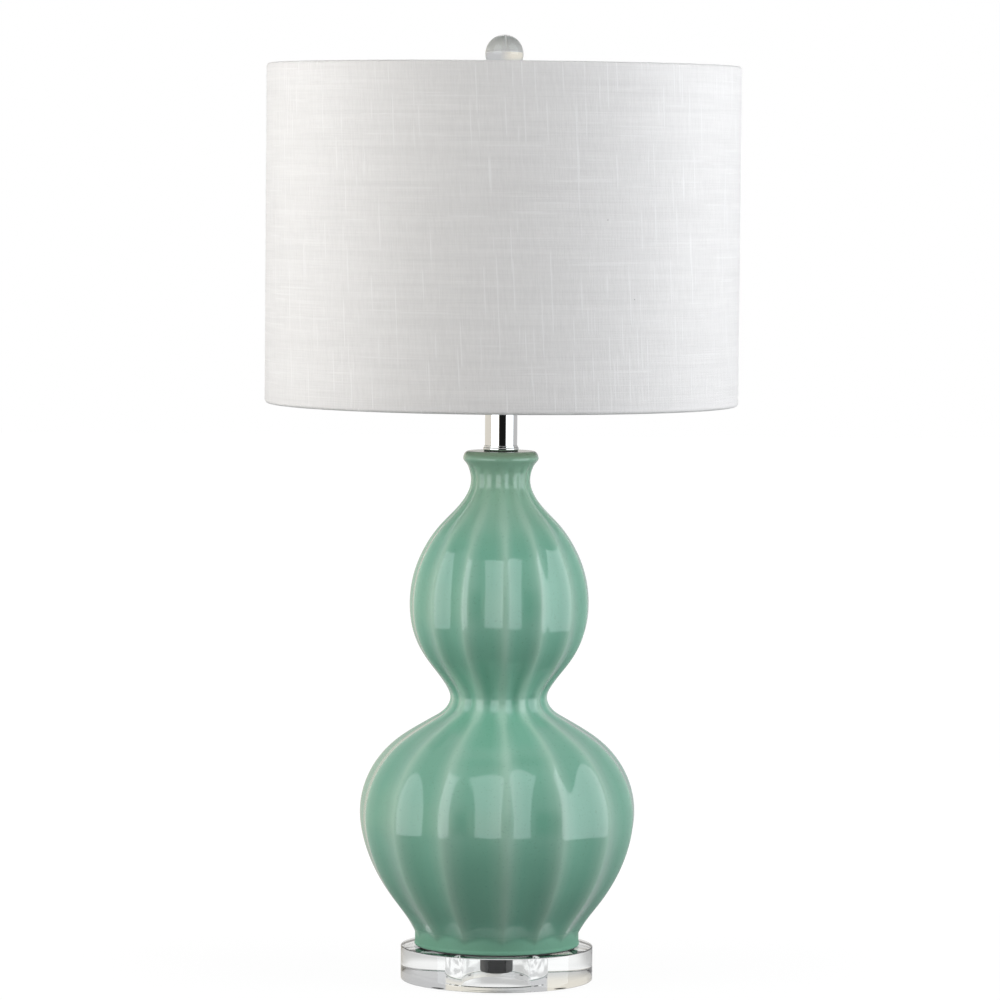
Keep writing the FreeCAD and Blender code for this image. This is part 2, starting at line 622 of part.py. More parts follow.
def harp_path():
    """Centre line of the harp: leg, flare, side and shoulder, then the same mirrored."""
    side_radius, shoulder_radius = harp_arcs()
    flare = math.radians(HARP_FLARE_ANGLE)
    shoulder = math.radians(HARP_SHOULDER_ANGLE)
    foot = (SADDLE_HALF_SPAN, SADDLE_TOP + SADDLE_POST_HEIGHT)
    knee = (foot[0], foot[1] + HARP_LEG_LENGTH)

    def on_circle(centre, radius, angle):
        return (centre[0] + radius * math.cos(angle), centre[1] + radius * math.sin(angle))

    flare_centre = (knee[0] + HARP_FLARE_RADIUS, knee[1])
    flare_arc = [on_circle(flare_centre, HARP_FLARE_RADIUS, math.pi - flare * k / 2) for k in range(3)]
    start = flare_arc[-1]
    side_centre = (start[0] - side_radius * math.cos(flare), start[1] + side_radius * math.sin(flare))
    side_arc = [on_circle(side_centre, side_radius, -flare + (flare + shoulder) * k / 2) for k in range(3)]
    start = side_arc[-1]
    shoulder_centre = (start[0] - shoulder_radius * math.cos(shoulder),
                       start[1] - shoulder_radius * math.sin(shoulder))
    turn = math.pi / 2 - shoulder
    shoulder_arc = [on_circle(shoulder_centre, shoulder_radius, shoulder + turn * k / 2) for k in range(3)]
    right = [line(foot, knee), arc(*flare_arc), arc(*side_arc), arc(*shoulder_arc)]
    mirror = [[(-x, z) for x, z in points] for points in (shoulder_arc, side_arc, flare_arc)]
    left = [arc(*points[::-1]) for points in mirror]
    left.append(line((-knee[0], knee[1]), (-foot[0], foot[1])))
    top = line(shoulder_arc[-1], (-shoulder_arc[-1][0], shoulder_arc[-1][1]))
    return Part.Wire(right + [top] + left)


def harp():
    return wire_solid(harp_path(), HARP_WIRE_RADIUS)


def harp_ferrule(side):
    """Sleeve that locks one leg of the harp to its post."""
    bore = HARP_WIRE_RADIUS + RUNNING_CLEARANCE
    low = SADDLE_TOP
    sleeve = ring(bore + FERRULE_WALL, bore, low, low + FERRULE_LENGTH)
    edges = [e for e in sleeve.Edges if e.BoundBox.XLength > 2 * bore + FERRULE_WALL
             and e.BoundBox.ZLength < 1e-6]
    sleeve = sleeve.makeChamfer(FERRULE_WALL / 3, edges)
    sleeve.translate(Vector(side * SADDLE_HALF_SPAN, 0, 0))
    return sleeve


def harp_stud():
    """Boss crimped on the harp's top wire, with a seat and a threaded stud."""
    flange_low = SEAT_TOP - STUD_FLANGE_THICKNESS
    boss = rod(STUD_BOSS_RADIUS, flange_low - STUD_BOSS_HEIGHT, flange_low)
    flange = rod(STUD_FLANGE_RADIUS, flange_low, SEAT_TOP)
    stud = rod(STUD_RADIUS, SEAT_TOP, SEAT_TOP + STUD_HEIGHT)
    stud = stud.makeChamfer(STUD_RADIUS / 6, circles_at(stud, SEAT_TOP + STUD_HEIGHT))
    hole = Part.makeCylinder(HARP_WIRE_RADIUS + RUNNING_CLEARANCE, 4 * STUD_BOSS_RADIUS,
                             Vector(-2 * STUD_BOSS_RADIUS, 0, WIRE_TOP), Vector(1, 0, 0))
    return boss.fuse(flange).fuse(stud).cut(hole).removeSplitter()


# ---------------------------------------------------------------- socket

def socket_cap():
    """Cup that screws on the pipe and takes the socket shell."""
    shoulder = CAP_BOTTOM + CAP_HUB_HEIGHT
    bend = CAP_RADIUS * 0.35
    inner = CAP_RADIUS - CAP_WALL
    bore = PIPE_RADIUS + RUNNING_CLEARANCE
    edge_z = shoulder + bend
    slant = math.sqrt(0.5)
    inner_bend = bend - CAP_WALL
    outer_arc = arc((CAP_RADIUS - bend, shoulder), (CAP_RADIUS - bend * (1 - slant), edge_z - bend * slant),
                    (CAP_RADIUS, edge_z))
    inner_arc = arc((inner, edge_z), (CAP_RADIUS - bend + inner_bend * slant, edge_z - inner_bend * slant),
                    (CAP_RADIUS - bend, shoulder + CAP_WALL))
    edges = [line((bore, CAP_BOTTOM), (CAP_HUB_RADIUS, CAP_BOTTOM)),
             line((CAP_HUB_RADIUS, CAP_BOTTOM), (CAP_HUB_RADIUS, shoulder)),
             line((CAP_HUB_RADIUS, shoulder), (CAP_RADIUS - bend, shoulder)),
             outer_arc,
             line((CAP_RADIUS, edge_z), (CAP_RADIUS, CAP_TOP)),
             line((CAP_RADIUS, CAP_TOP), (inner, CAP_TOP)),
             line((inner, CAP_TOP), (inner, edge_z)),
             inner_arc,
             line((CAP_RADIUS - bend, shoulder + CAP_WALL), (bore, shoulder + CAP_WALL)),
             line((bore, shoulder + CAP_WALL), (bore, CAP_BOTTOM))]
    return turned_edges(edges)


def stem_hole(radius):
    """The round way through the socket's front wall for the switch stem."""
    return Part.makeCylinder(radius, 2 * CAP_RADIUS, Vector(0, 0, SWITCH_AXIS), Vector(0, -1, 0))


def socket_shell():
    shell = ring(SHELL_RADIUS, SHELL_RADIUS - SHELL_WALL, SHELL_BOTTOM, SHELL_TOP)
    return shell.cut(stem_hole(SWITCH_STEM_RADIUS + 2 * TURNING_GAP))


def socket_insulator():
    """Card sleeve between the metal shell and the live parts."""
    outer = INSULATOR_RADIUS
    sleeve = ring(outer, outer - INSULATOR_WALL, SHELL_BOTTOM, SHELL_TOP - 2 * SHELL_WALL)
    return sleeve.cut(stem_hole(SWITCH_STEM_RADIUS + 2 * TURNING_GAP))


def switch_body():
    """Moulded block that holds the switch, bored for its stem."""
    block = rod(SWITCH_BODY_RADIUS, SHELL_BOTTOM, SWITCH_TOP)
    reach = SWITCH_BODY_RADIUS - SWITCH_STEM_DEPTH
    bore = Part.makeCylinder(SWITCH_STEM_RADIUS + RUNNING_CLEARANCE, SWITCH_BODY_RADIUS,
                             Vector(0, -reach, SWITCH_AXIS), Vector(0, -1, 0))
    return block.cut(bore)


def screw_shell():
    """Metal cup that the bulb screws into."""
    outer = SCREW_SHELL_BORE + SCREW_SHELL_WALL
    cup = ring(outer, SCREW_SHELL_BORE, SWITCH_TOP, SWITCH_TOP + SCREW_SHELL_LENGTH)
    floor = ring(outer, CONTACT_RADIUS + 2 * CONTACT_HEIGHT, SWITCH_TOP, SWITCH_TOP + SCREW_SHELL_WALL)
    return cup.fuse(floor).removeSplitter()


def centre_contact():
    """Spring contact under the bulb, with a rounded rim."""
    disc = rod(CONTACT_RADIUS, SWITCH_TOP, CONTACT_TOP)
    return disc.makeFillet(CONTACT_HEIGHT / 2, circles_at(disc, CONTACT_TOP))


def terminal_screws():
    """Two slotted screws on the underside of the switch body."""
    screws = []
    for side in (-1, 1):
        x = side * TERMINAL_SPREAD
        head = rod(TERMINAL_RADIUS, SHELL_BOTTOM - TERMINAL_HEIGHT, SHELL_BOTTOM, x)
        slot = Part.makeBox(2.5 * TERMINAL_RADIUS, TERMINAL_RADIUS / 3, TERMINAL_HEIGHT / 2,
                            Vector(x - 1.25 * TERMINAL_RADIUS, -TERMINAL_RADIUS / 6,
                                   SHELL_BOTTOM - TERMINAL_HEIGHT))
        screws.append(head.cut(slot))
    return Part.makeCompound(screws)


def switch_stem():
    """Thin shaft from the switch to its knob, pointing to the front."""
    start = SWITCH_BODY_RADIUS - SWITCH_STEM_DEPTH + SEAT_GAP
    end = CAP_RADIUS + SWITCH_KNOB_STANDOFF
    return Part.makeCylinder(SWITCH_STEM_RADIUS, end - start, Vector(0, -start, SWITCH_AXIS),
                             Vector(0, -1, 0))


def switch_knob():
    """Fluted turn knob on the end of the stem."""
    start = CAP_RADIUS + SWITCH_KNOB_STANDOFF
    out = Vector(0, -1, 0)
    knob = Part.makeCone(SWITCH_KNOB_RADIUS * 0.86, SWITCH_KNOB_RADIUS, SWITCH_KNOB_LENGTH,
                         Vector(0, -start, SWITCH_AXIS), out)
    groove_radius = SWITCH_KNOB_RADIUS * math.pi / SWITCH_KNOB_RIBS / 2
    for index in range(SWITCH_KNOB_RIBS):
        turn = 2 * math.pi * index / SWITCH_KNOB_RIBS
        reach = SWITCH_KNOB_RADIUS + groove_radius * 0.35
        place = Vector(reach * math.cos(turn), -start - 1, SWITCH_AXIS + reach * math.sin(turn))
        knob = knob.cut(Part.makeCylinder(groove_radius, SWITCH_KNOB_LENGTH + 2, place, out))
    return knob


# ---------------------------------------------------------------- bulb

def bulb_tip():
    """Insulated contact at the bottom of the bulb's screw base."""
    low = CONTACT_TOP + SEAT_GAP
    return turned([(0, low), (BULB_TIP_RADIUS / 2, low), (BULB_TIP_RADIUS, low + BULB_TIP_HEIGHT / 3),
                   (BULB_TIP_RADIUS, BULB_BASE_BOTTOM), (0, BULB_BASE_BOTTOM)])


def bulb_base():
    """Screw base, with its thread as shallow turned rings."""
    outline = [(0, BULB_BASE_BOTTOM), (BULB_THREAD_RADIUS * 0.7, BULB_BASE_BOTTOM)]
    rings = 5
    pitch = BULB_THREAD_LENGTH / (rings + 1)
    for index in range(rings):
        middle = BULB_BASE_BOTTOM + pitch * (index + 1)
        outline += [(BULB_THREAD_RADIUS * 0.93, middle - pitch / 2), (BULB_THREAD_RADIUS, middle)]
    outline += [(BULB_THREAD_RADIUS * 0.93, BULB_BASE_TOP), (0, BULB_BASE_TOP)]
    return turned(outline)


def bulb_globe():
    """Frosted glass globe, hollow, seated on the screw base."""
    base = BULB_BASE_TOP
    half = BULB_HEIGHT - BULB_RADIUS

    def outline(inset):
        curve = Part.BSplineCurve()
        curve.interpolate([Vector(BULB_NECK_RADIUS - inset, 0, base),
                           Vector(BULB_NECK_RADIUS + 0.06 * BULB_RADIUS - inset, 0, base + 0.2 * half),
                           Vector(BULB_RADIUS * 0.80 - inset, 0, base + 0.58 * half),
                           Vector(BULB_RADIUS - inset, 0, base + half)])
        top = base + BULB_HEIGHT - inset
        slant = (BULB_RADIUS - inset) * math.sqrt(0.5)
        crown = arc((BULB_RADIUS - inset, base + half), (slant, base + half + slant), (0, top))
        return turned_edges([curve.toShape(), crown, line((0, top), (0, base)),
                             line((0, base), (BULB_NECK_RADIUS - inset, base))])

    return outline(0).cut(outline(BULB_WALL))


# ---------------------------------------------------------------- shade

def shade_cloth():
    """Drum of cloth, between the two rolled edges."""
    return ring(SHADE_RADIUS, SHADE_RADIUS - CLOTH_THICKNESS, SHADE_BOTTOM + HEM_RADIUS,
                SHADE_TOP - HEM_RADIUS)


def shade_liner():
    """Stiff lining bonded inside the cloth, stopping short of the ring wires."""
    margin = HEM_RADIUS + RING_WIRE_RADIUS + LINER_MARGIN
    outer = SHADE_RADIUS - CLOTH_THICKNESS - SEAT_GAP
    return ring(outer, outer - LINER_THICKNESS, SHADE_BOTTOM + margin, SHADE_TOP - margin)


def arm_wires(radius):
    """The arms' wires at a given radius, from inside the hub to the middle of the top ring."""
    hub_level = SEAT_TOP + HUB_THICKNESS / 2
    bend = 30.0
    rise = math.atan2(SPIDER_RISE, SPIDER_SLOPE_RUN)
    reach = bend * math.tan(rise / 2)
    first = (HUB_RADIUS - 2 * RING_WIRE_RADIUS, hub_level)
    before = (SPIDER_LEVEL_RADIUS - reach, hub_level)
    after = (SPIDER_LEVEL_RADIUS + reach * math.cos(rise), hub_level + reach * math.sin(rise))
    between = (before[0] + bend * math.sin(rise / 2), hub_level + bend * (1 - math.cos(rise / 2)))
    path = Part.Wire([line(first, before), arc(before, between, after),
                      line(after, (RING_CIRCLE_RADIUS, RING_LEVEL))])
    wires = []
    for index in range(SPIDER_ARMS):
        wire = wire_solid(path, radius)
        wire.rotate(ORIGIN, Z_AXIS, SPIDER_PHASE + 360.0 * index / SPIDER_ARMS)
        wires.append(wire)
    return wires


def shade_hem(edge, inward):
    """Cloth rolled over a ring wire; edge is its height, inward is -1 at the top."""
    centre = edge + inward * HEM_RADIUS
    flap = edge + inward * (HEM_RADIUS + HEM_FLAP)
    thin = HEM_RADIUS - CLOTH_THICKNESS
    middle = RING_CIRCLE_RADIUS
    edges = [arc((middle + HEM_RADIUS, centre), (middle, edge), (middle - HEM_RADIUS, centre)),
             line((middle - HEM_RADIUS, centre), (middle - HEM_RADIUS, flap)),
             line((middle - HEM_RADIUS, flap), (middle - thin, flap)),
             line((middle - thin, flap), (middle - thin, centre)),
             arc((middle - thin, centre), (middle, edge + inward * CLOTH_THICKNESS), (middle + thin, centre)),
             line((middle + thin, centre), (middle + HEM_RADIUS, centre))]
    return turned_edges(edges)


def shade_top_hem():
    """The upper roll, notched where the arms pass through its inner flap."""
    hem = shade_hem(SHADE_TOP, -1)
    for notch in arm_wires(RING_WIRE_RADIUS + ROLL_GAP):
        hem = hem.cut(notch)
    return hem


def shade_wire_ring(level):
    return Part.makeTorus(RING_CIRCLE_RADIUS, RING_WIRE_RADIUS, Vector(0, 0, level))


def shade_seam():
    """Lapped strip where the cloth's ends meet, at the back."""
    strip = ring(SHADE_RADIUS + SEAM_THICKNESS, SHADE_RADIUS, SHADE_BOTTOM + HEM_RADIUS,
                 SHADE_TOP - HEM_RADIUS)
    box = Part.makeBox(SEAM_WIDTH, 2 * SEAM_WIDTH, SHADE_HEIGHT,
                       Vector(-SEAM_WIDTH / 2, SHADE_RADIUS - SEAM_WIDTH, SHADE_BOTTOM))
    return strip.common(box)


def spider_hub():
    return ring(HUB_RADIUS, STUD_RADIUS + RUNNING_CLEARANCE, SEAT_TOP, HUB_TOP)


def spider_arms():
    """Bent wires from the hub up to the top ring."""
    hub = rod(HUB_RADIUS, SEAT_TOP, HUB_TOP)
    arms = []
    for wire in arm_wires(RING_WIRE_RADIUS):
        arm = wire.cut(hub).cut(shade_wire_ring(RING_LEVEL))
        arms.append(max(arm.Solids, key=lambda solid: solid.Volume))
    return Part.makeCompound(arms)


# ---------------------------------------------------------------- finial

def finial_base():
    """Turned metal foot and cup that carries the ball, bored for the harp's stud."""
    low = HUB_TOP
    neck_low = low + FINIAL_FOOT_HEIGHT
    cup_low = low + FINIAL_CUP_HEIGHT * 0.55
    top = low + FINIAL_CUP_HEIGHT
    waist = FINIAL_STEM_RADIUS
    edges = [line((0, low), (FINIAL_FOOT_RADIUS, low)),
             line((FINIAL_FOOT_RADIUS, low), (FINIAL_FOOT_RADIUS, neck_low)),
             arc((FINIAL_FOOT_RADIUS, neck_low), (waist, (neck_low + cup_low) / 2),
                 (FINIAL_CUP_RADIUS, cup_low + FINIAL_FOOT_HEIGHT / 2)),
             line((FINIAL_CUP_RADIUS, cup_low + FINIAL_FOOT_HEIGHT / 2), (FINIAL_CUP_RADIUS, top)),
             line((FINIAL_CUP_RADIUS, top), (0, top)),
             line((0, top), (0, low))]
    base = turned_edges(edges)
    ball = Part.makeSphere(BALL_RADIUS, Vector(0, 0, BALL_MIDDLE))
    bore_top = SEAT_TOP + STUD_HEIGHT + TURNING_GAP
    return base.cut(ball).cut(rod(STUD_RADIUS + RUNNING_CLEARANCE, low - 1, bore_top))


def finial_ball():
    return Part.makeSphere(BALL_RADIUS, Vector(0, 0, BALL_MIDDLE))


# ---------------------------------------------------------------- all sub-parts

PIECES = {
    "bumper_pads": bumper_pads,
    "base_disc": base_disc,
    "foot_gasket": foot_gasket,
    "ceramic_body": ceramic_body,
    "cord_grommet": cord_grommet,
    "threaded_pipe": threaded_pipe,
    "base_washer": base_washer,
    "base_lock_washer": base_lock_washer,
    "base_nut": base_nut,
    "neck_gasket": neck_gasket,
    "neck_ring": neck_ring,
    "neck_tube": neck_tube,
    "neck_cap": neck_cap,
    "harp_saddle": harp_saddle,
    "saddle_nut": saddle_nut,
    "harp": harp,
    "harp_ferrule_left": lambda: harp_ferrule(-1),
    "harp_ferrule_right": lambda: harp_ferrule(1),
    "harp_stud": harp_stud,
    "socket_cap": socket_cap,
    "socket_shell": socket_shell,
    "socket_insulator": socket_insulator,
    "switch_body": switch_body,
    "screw_shell": screw_shell,
    "centre_contact": centre_contact,
    "terminal_screws": terminal_screws,
    "switch_stem": switch_stem,
    "switch_knob": switch_knob,
    "bulb_tip": bulb_tip,
    "bulb_base": bulb_base,
    "bulb_globe": bulb_globe,
    "shade_cloth": shade_cloth,
    "shade_liner": shade_liner,
    "shade_top_hem": shade_top_hem,
    "shade_bottom_hem": lambda: shade_hem(SHADE_BOTTOM, 1),
    "shade_top_ring": lambda: shade_wire_ring(RING_LEVEL),
    "shade_bottom_ring": lambda: shade_wire_ring(SHADE_BOTTOM + HEM_RADIUS),
    "shade_seam": shade_seam,
    "spider_hub": spider_hub,
    "spider_arms": spider_arms,
    "finial_base": finial_base,
    "finial_ball": finial_ball,
}

for piece_name, make_piece in PIECES.items():
    save(piece_name, make_piece())
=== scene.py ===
import functools
import math

import bmesh
import bpy
import numpy
from bpy.props import FloatProperty, FloatVectorProperty, IntProperty, PointerProperty
from mathutils import Matrix, Vector


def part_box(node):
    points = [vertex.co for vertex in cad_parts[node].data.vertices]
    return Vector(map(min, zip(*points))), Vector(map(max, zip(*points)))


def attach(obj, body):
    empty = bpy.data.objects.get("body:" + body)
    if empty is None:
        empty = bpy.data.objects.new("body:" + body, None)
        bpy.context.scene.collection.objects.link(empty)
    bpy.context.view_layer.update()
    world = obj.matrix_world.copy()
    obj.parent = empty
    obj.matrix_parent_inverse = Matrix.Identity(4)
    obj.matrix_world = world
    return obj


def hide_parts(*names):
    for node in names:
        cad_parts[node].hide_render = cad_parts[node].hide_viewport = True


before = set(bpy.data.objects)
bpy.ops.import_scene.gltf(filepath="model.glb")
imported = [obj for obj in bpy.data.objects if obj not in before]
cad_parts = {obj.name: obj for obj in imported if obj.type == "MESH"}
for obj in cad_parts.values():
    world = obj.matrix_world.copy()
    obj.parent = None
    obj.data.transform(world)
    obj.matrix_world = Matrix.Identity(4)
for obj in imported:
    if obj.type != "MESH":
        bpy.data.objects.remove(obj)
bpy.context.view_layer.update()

bl_info = {
    "name": "Double-gourd lamp",
    "version": (1, 0, 0),
    "blender": (4, 5, 0),
    "location": "3D View > Sidebar > Gourd Lamp",
    "description": "Dresses a fluted double-gourd table lamp over its fixed frame",
    "category": "Add Mesh",
}

MM = 0.001


# ---------- sizes a user would change

def length(name, description, default, low=0.0):
    """A size in metres, given in millimetres."""
    return FloatProperty(name=name, description=description, default=default * MM, min=low,
                         precision=5, subtype="DISTANCE", unit="LENGTH")


def angle(name, description, default):
    """An angle, given in degrees."""
    return FloatProperty(name=name, description=description, default=math.radians(default),
                         subtype="ANGLE", unit="ROTATION")


def number(name, description, default, low=0.0):
    """A plain number, share or strength."""
    return FloatProperty(name=name, description=description, default=default, min=low)


def colour(name, description, default):
    """A linear colour."""
    return FloatVectorProperty(name=name, description=description, default=default, size=3,
                               min=0.0, max=1.0, subtype="COLOR")


class CeramicSizes(bpy.types.PropertyGroup):
    """Sizes of the fluted ceramic."""
    ribs: IntProperty(name="Ribs", description="Number of ribs round the body", default=15, min=3)
    wide_flute: angle("Wide flute", "The flute left of the front rib", 27.5)
    steps: IntProperty(name="Steps per rib", description="Columns of faces from rib to rib",
                       default=20, min=4)
    flute_depth: length("Flute depth", "Depth of a flute at the widest ring", 3.5)
    depth_power: number("Depth power", "How the depth falls with the radius", 0.85)
    panel_shape: number("Panel shape", "Near 1 leaves narrow crests between hollow panels", 1.15)
    reed_shape: number("Reed shape", "About 3 leaves round reeds between narrow grooves", 3.0)
    reeds_end: length("Reeds end", "Crest radius at which reeds have turned into panels", 56.0)
    crest_round: number("Crest softness", "Softness of a crest, as a share of a flute", 0.11)
    foot_radius: length("Foot radius", "Radius of the plain band at the foot", 61.8)
    foot_blend: length("Foot blend", "Softness where the panels run into the band", 0.5)
    glaze: colour("Glaze", "Colour of the glaze where it lies thick", (0.182, 0.440, 0.322))
    glaze_thin: colour("Thin glaze", "Colour of the glaze over the crests", (0.345, 0.580, 0.460))
    # Neck glaze: an olive tint, made lighter as painted light on the neck and lip
    glaze_neck_painted_light: colour("Neck glaze, painted light", "Colour of the glaze round the neck", (0.260, 0.455, 0.330))
    # Crown glaze: darker olive on the crown's top face, painted shade standing in for the dark
    # reflection there
    glaze_crown_painted_shade: colour("Crown glaze, painted shade", "Colour of the glaze on the crown", (0.175, 0.270, 0.180))
    # Foot glaze: a darker green round the foot, painted shade at the bottom of the body
    glaze_foot_painted_shade: colour("Foot glaze, painted shade", "Colour of the glaze round the foot", (0.165, 0.370, 0.262))


class ShadeSizes(bpy.types.PropertyGroup):
    """Sizes and colours of the drum shade."""
    radius: length("Radius", "Outer radius of the drum", 177.8)
    cloth: length("Cloth", "Thickness of the cloth", 0.6)
    roll: length("Roll", "Radius of the cloth's roll over a ring wire", 2.5)
    flap: length("Flap", "Length of the turned-in edge", 10.0)
    lap: length("Lap", "Width of the lap at the back", 12.0)
    thread: length("Thread", "Distance from thread to thread", 0.85)
    lean: number("Lean", "How far the upright threads lean, per length", 0.05, low=-1.0)
    linen: colour("Linen", "Colour of the cloth", (0.835, 0.830, 0.825))
    slub: colour("Slub", "Colour of a thick thread", (0.900, 0.900, 0.900))


class StageSizes(bpy.types.PropertyGroup):
    """Camera and lights."""
    camera_distance: length("Camera distance", "From the lamp's axis", 3908.0)
    camera_height: length("Camera height", "Above the table", 613.2)
    camera_turn: angle("Camera turn", "Round the lamp, towards its left", 2.4)
    camera_pitch: angle("Camera pitch", "Downwards", 3.65)
    camera_roll: angle("Camera roll", "The lamp leans right by this much", 0.5)
    camera_aside: length("Camera aside", "To the right of the lamp's axis", -0.4, low=-1.0)
    lens: number("Lens", "Focal length in millimetres", 187.3)
    window: number("Window", "Brightness of the two tall reflected lamps", 1.85)
    front: number("Front", "Brightness of the two front lamps", 3.1)
    side: number("Side", "Brightness of the side and back lamps", 1.1)
    fill: number("Fill", "Strength of the room's own light", 0.05)


# ---------- meshes

def place(name, mesh):
    """A new object at the origin, whose place is in its mesh."""
    piece = bpy.data.objects.new(name, mesh)
    bpy.context.scene.collection.objects.link(piece)
    return piece


def smooth_line(stations, steps):
    """Points of a smooth curve through the stations, steps to a span."""
    known = numpy.array(stations, dtype=float)
    chord = numpy.linalg.norm(numpy.diff(known, axis=0), axis=1)
    at = numpy.concatenate(([0.0], numpy.cumsum(chord)))
    count = len(known)
    system = numpy.zeros((count, count))
    right = numpy.zeros((count, known.shape[1]))
    system[0, :3] = (chord[1], -(chord[0] + chord[1]), chord[0])
    system[-1, -3:] = (chord[-1], -(chord[-2] + chord[-1]), chord[-2])
    slope = numpy.diff(known, axis=0) / chord[:, None]
    for i in range(1, count - 1):
        system[i, i - 1:i + 2] = (chord[i - 1], 2 * (chord[i - 1] + chord[i]), chord[i])
        right[i] = 6 * (slope[i] - slope[i - 1])
    bend = numpy.linalg.solve(system, right)
    points = []
    for i in range(count - 1):
        for k in range(steps):
            a = (at[i + 1] - at[i]) * k / steps
            rest = chord[i] - a
            points.append((bend[i] * rest ** 3 + bend[i + 1] * a ** 3) / (6 * chord[i])
                          + (known[i] / chord[i] - bend[i] * chord[i] / 6) * rest
                          + (known[i + 1] / chord[i] - bend[i + 1] * chord[i] / 6) * a)
    points.append(known[-1])
    return [tuple(float(v) for v in p) for p in points]


def bow(centre, radius, start, end, steps):
    """Points of an arc in the (radius, height) plane, angles in degrees."""
    points = []
    for k in range(steps + 1):
        angle = math.radians(start + (end - start) * k / steps)
        points.append((centre[0] + radius * math.cos(angle), centre[1] + radius * math.sin(angle)))
    return points


def turned(name, outline, around, sharp=30.0, closed=True, uv=False):
    """A turned piece from (radius, height) points in metres; closed joins last to first."""
    form = bmesh.new()
    rows = []
    for radius, height in outline:
        if radius < 1e-7:
            rows.append([form.verts.new((0.0, 0.0, height))] * around)
            continue
        row = []
        for k in range(around):
            angle = 2 * math.pi * k / around + math.pi / 2
            row.append(form.verts.new((radius * math.cos(angle), radius * math.sin(angle), height)))
        rows.append(row)
    if closed:
        rows.append(rows[0])
    travel = [0.0]
    for a, b in zip(outline, outline[1:] + outline[:1]):
        travel.append(travel[-1] + math.dist(a, b))
    layer = form.loops.layers.uv.new("cloth") if uv else None
    widest = max(r for r, _ in outline)
    for index, (low, high) in enumerate(zip(rows, rows[1:])):
        for k in range(around):
            after = (k + 1) % around
            corners = []
            for vert, u, v in ((low[k], k, index), (low[after], k + 1, index),
                               (high[after], k + 1, index + 1), (high[k], k, index + 1)):
                if vert not in [c[0] for c in corners]:
                    corners.append((vert, u, v))
            if len(corners) < 3:
                continue
            face = form.faces.new([c[0] for c in corners])
            face.smooth = True
            if uv:
                for loop, (_, u, v) in zip(face.loops, corners):
                    loop[layer].uv = (u / around * 2 * math.pi * widest, travel[v])
    bmesh.ops.recalc_face_normals(form, faces=form.faces)
    mesh = bpy.data.meshes.new(name)
    form.to_mesh(mesh)
    form.free()
    mesh.set_sharp_from_angle(angle=math.radians(sharp))
    return place(name, mesh)


def span(node):
    """Lowest and highest corners of a frame node."""
    low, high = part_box(node)
    return Vector(low), Vector(high)


# ---------- material building

class Wiring:
    """Short words for the nodes of a tree."""

    def __init__(self, tree):
        self.nodes = tree.nodes
        self.links = tree.links

    def node(self, kind, *wires, **settings):
        """A new node; its wires go in by place, or by name where a dictionary gives them."""
        made = self.nodes.new(kind)
        for key, value in settings.items():
            setattr(made, key, value)
        given = wires[0] if wires and isinstance(wires[0], dict) else dict(enumerate(wires))
        for socket, wire in given.items():
            self.feed(made.inputs[socket], wire)
        return made

    def feed(self, socket, wire):
        if isinstance(wire, bpy.types.NodeSocket):
            self.links.new(wire, socket)
        elif wire is not None:
            socket.default_value = wire

    def math(self, operation, a, b=None, c=None):
        return self.node("ShaderNodeMath", a, b, c, operation=operation).outputs[0]

    def between(self, value, low, high, start=0.0, end=1.0):
        """Goes smoothly from start, at low, to end, at high."""
        return self.node("ShaderNodeMapRange", value, low, high, start, end,
                         interpolation_type="SMOOTHSTEP").outputs[0]

    def object_point(self, scale=(1, 1, 1)):
        source = self.node("ShaderNodeTexCoord").outputs["Object"]
        return self.node("ShaderNodeMapping", source, None, None, scale).outputs[0]

    def noise(self, point, scale, detail=3.0, rough=0.5):
        return self.node("ShaderNodeTexNoise", {"Vector": point, "Scale": scale, "Detail": detail,
                                                "Roughness": rough}).outputs["Fac"]

    def ramp(self, value, stops):
        """A colour ramp; each stop is (place, grey)."""
        made = self.node("ShaderNodeValToRGB", value)
        band = made.color_ramp.elements
        while len(band) < len(stops):
            band.new(0.5)
        for element, (where, grey) in zip(band, stops):
            element.position = where
            element.color = (grey, grey, grey, 1)
        return made.outputs["Color"]

    def mix(self, share, a, b, blend="MIX"):
        """Two colours mixed; they are inputs 6 and 7 of the mix node."""
        a, b = (v if isinstance(v, bpy.types.NodeSocket) else (*v, 1) for v in (a, b))
        return self.node("ShaderNodeMix", {0: share, 6: a, 7: b}, data_type="RGBA",
                         blend_type=blend).outputs[2]

    def dim(self, tint, *layers):
        """A colour darkened by each layer in turn."""
        for layer in layers:
            tint = self.mix(1.0, tint, layer, "MULTIPLY")
        return tint


class Finish(Wiring):
    """A material and its shader."""

    def __init__(self, name):
        self.material = bpy.data.materials.new(name)
        self.material.use_nodes = True
        super().__init__(self.material.node_tree)
        self.shader = self.nodes["Principled BSDF"]

    def bump(self, height, depth, strength):
        wires = {"Height": height, "Distance": depth, "Strength": strength}
        self.set(Normal=self.node("ShaderNodeBump", wires).outputs[0])

    def set(self, **values):
        """Plain values go on the shader's own sockets, and wires go into them."""
        for key, value in values.items():
            self.feed(self.shader.inputs[key.replace("_", " ")], value)


@functools.cache
def finish(maker):
    """The material that a maker builds, made once."""
    return maker()


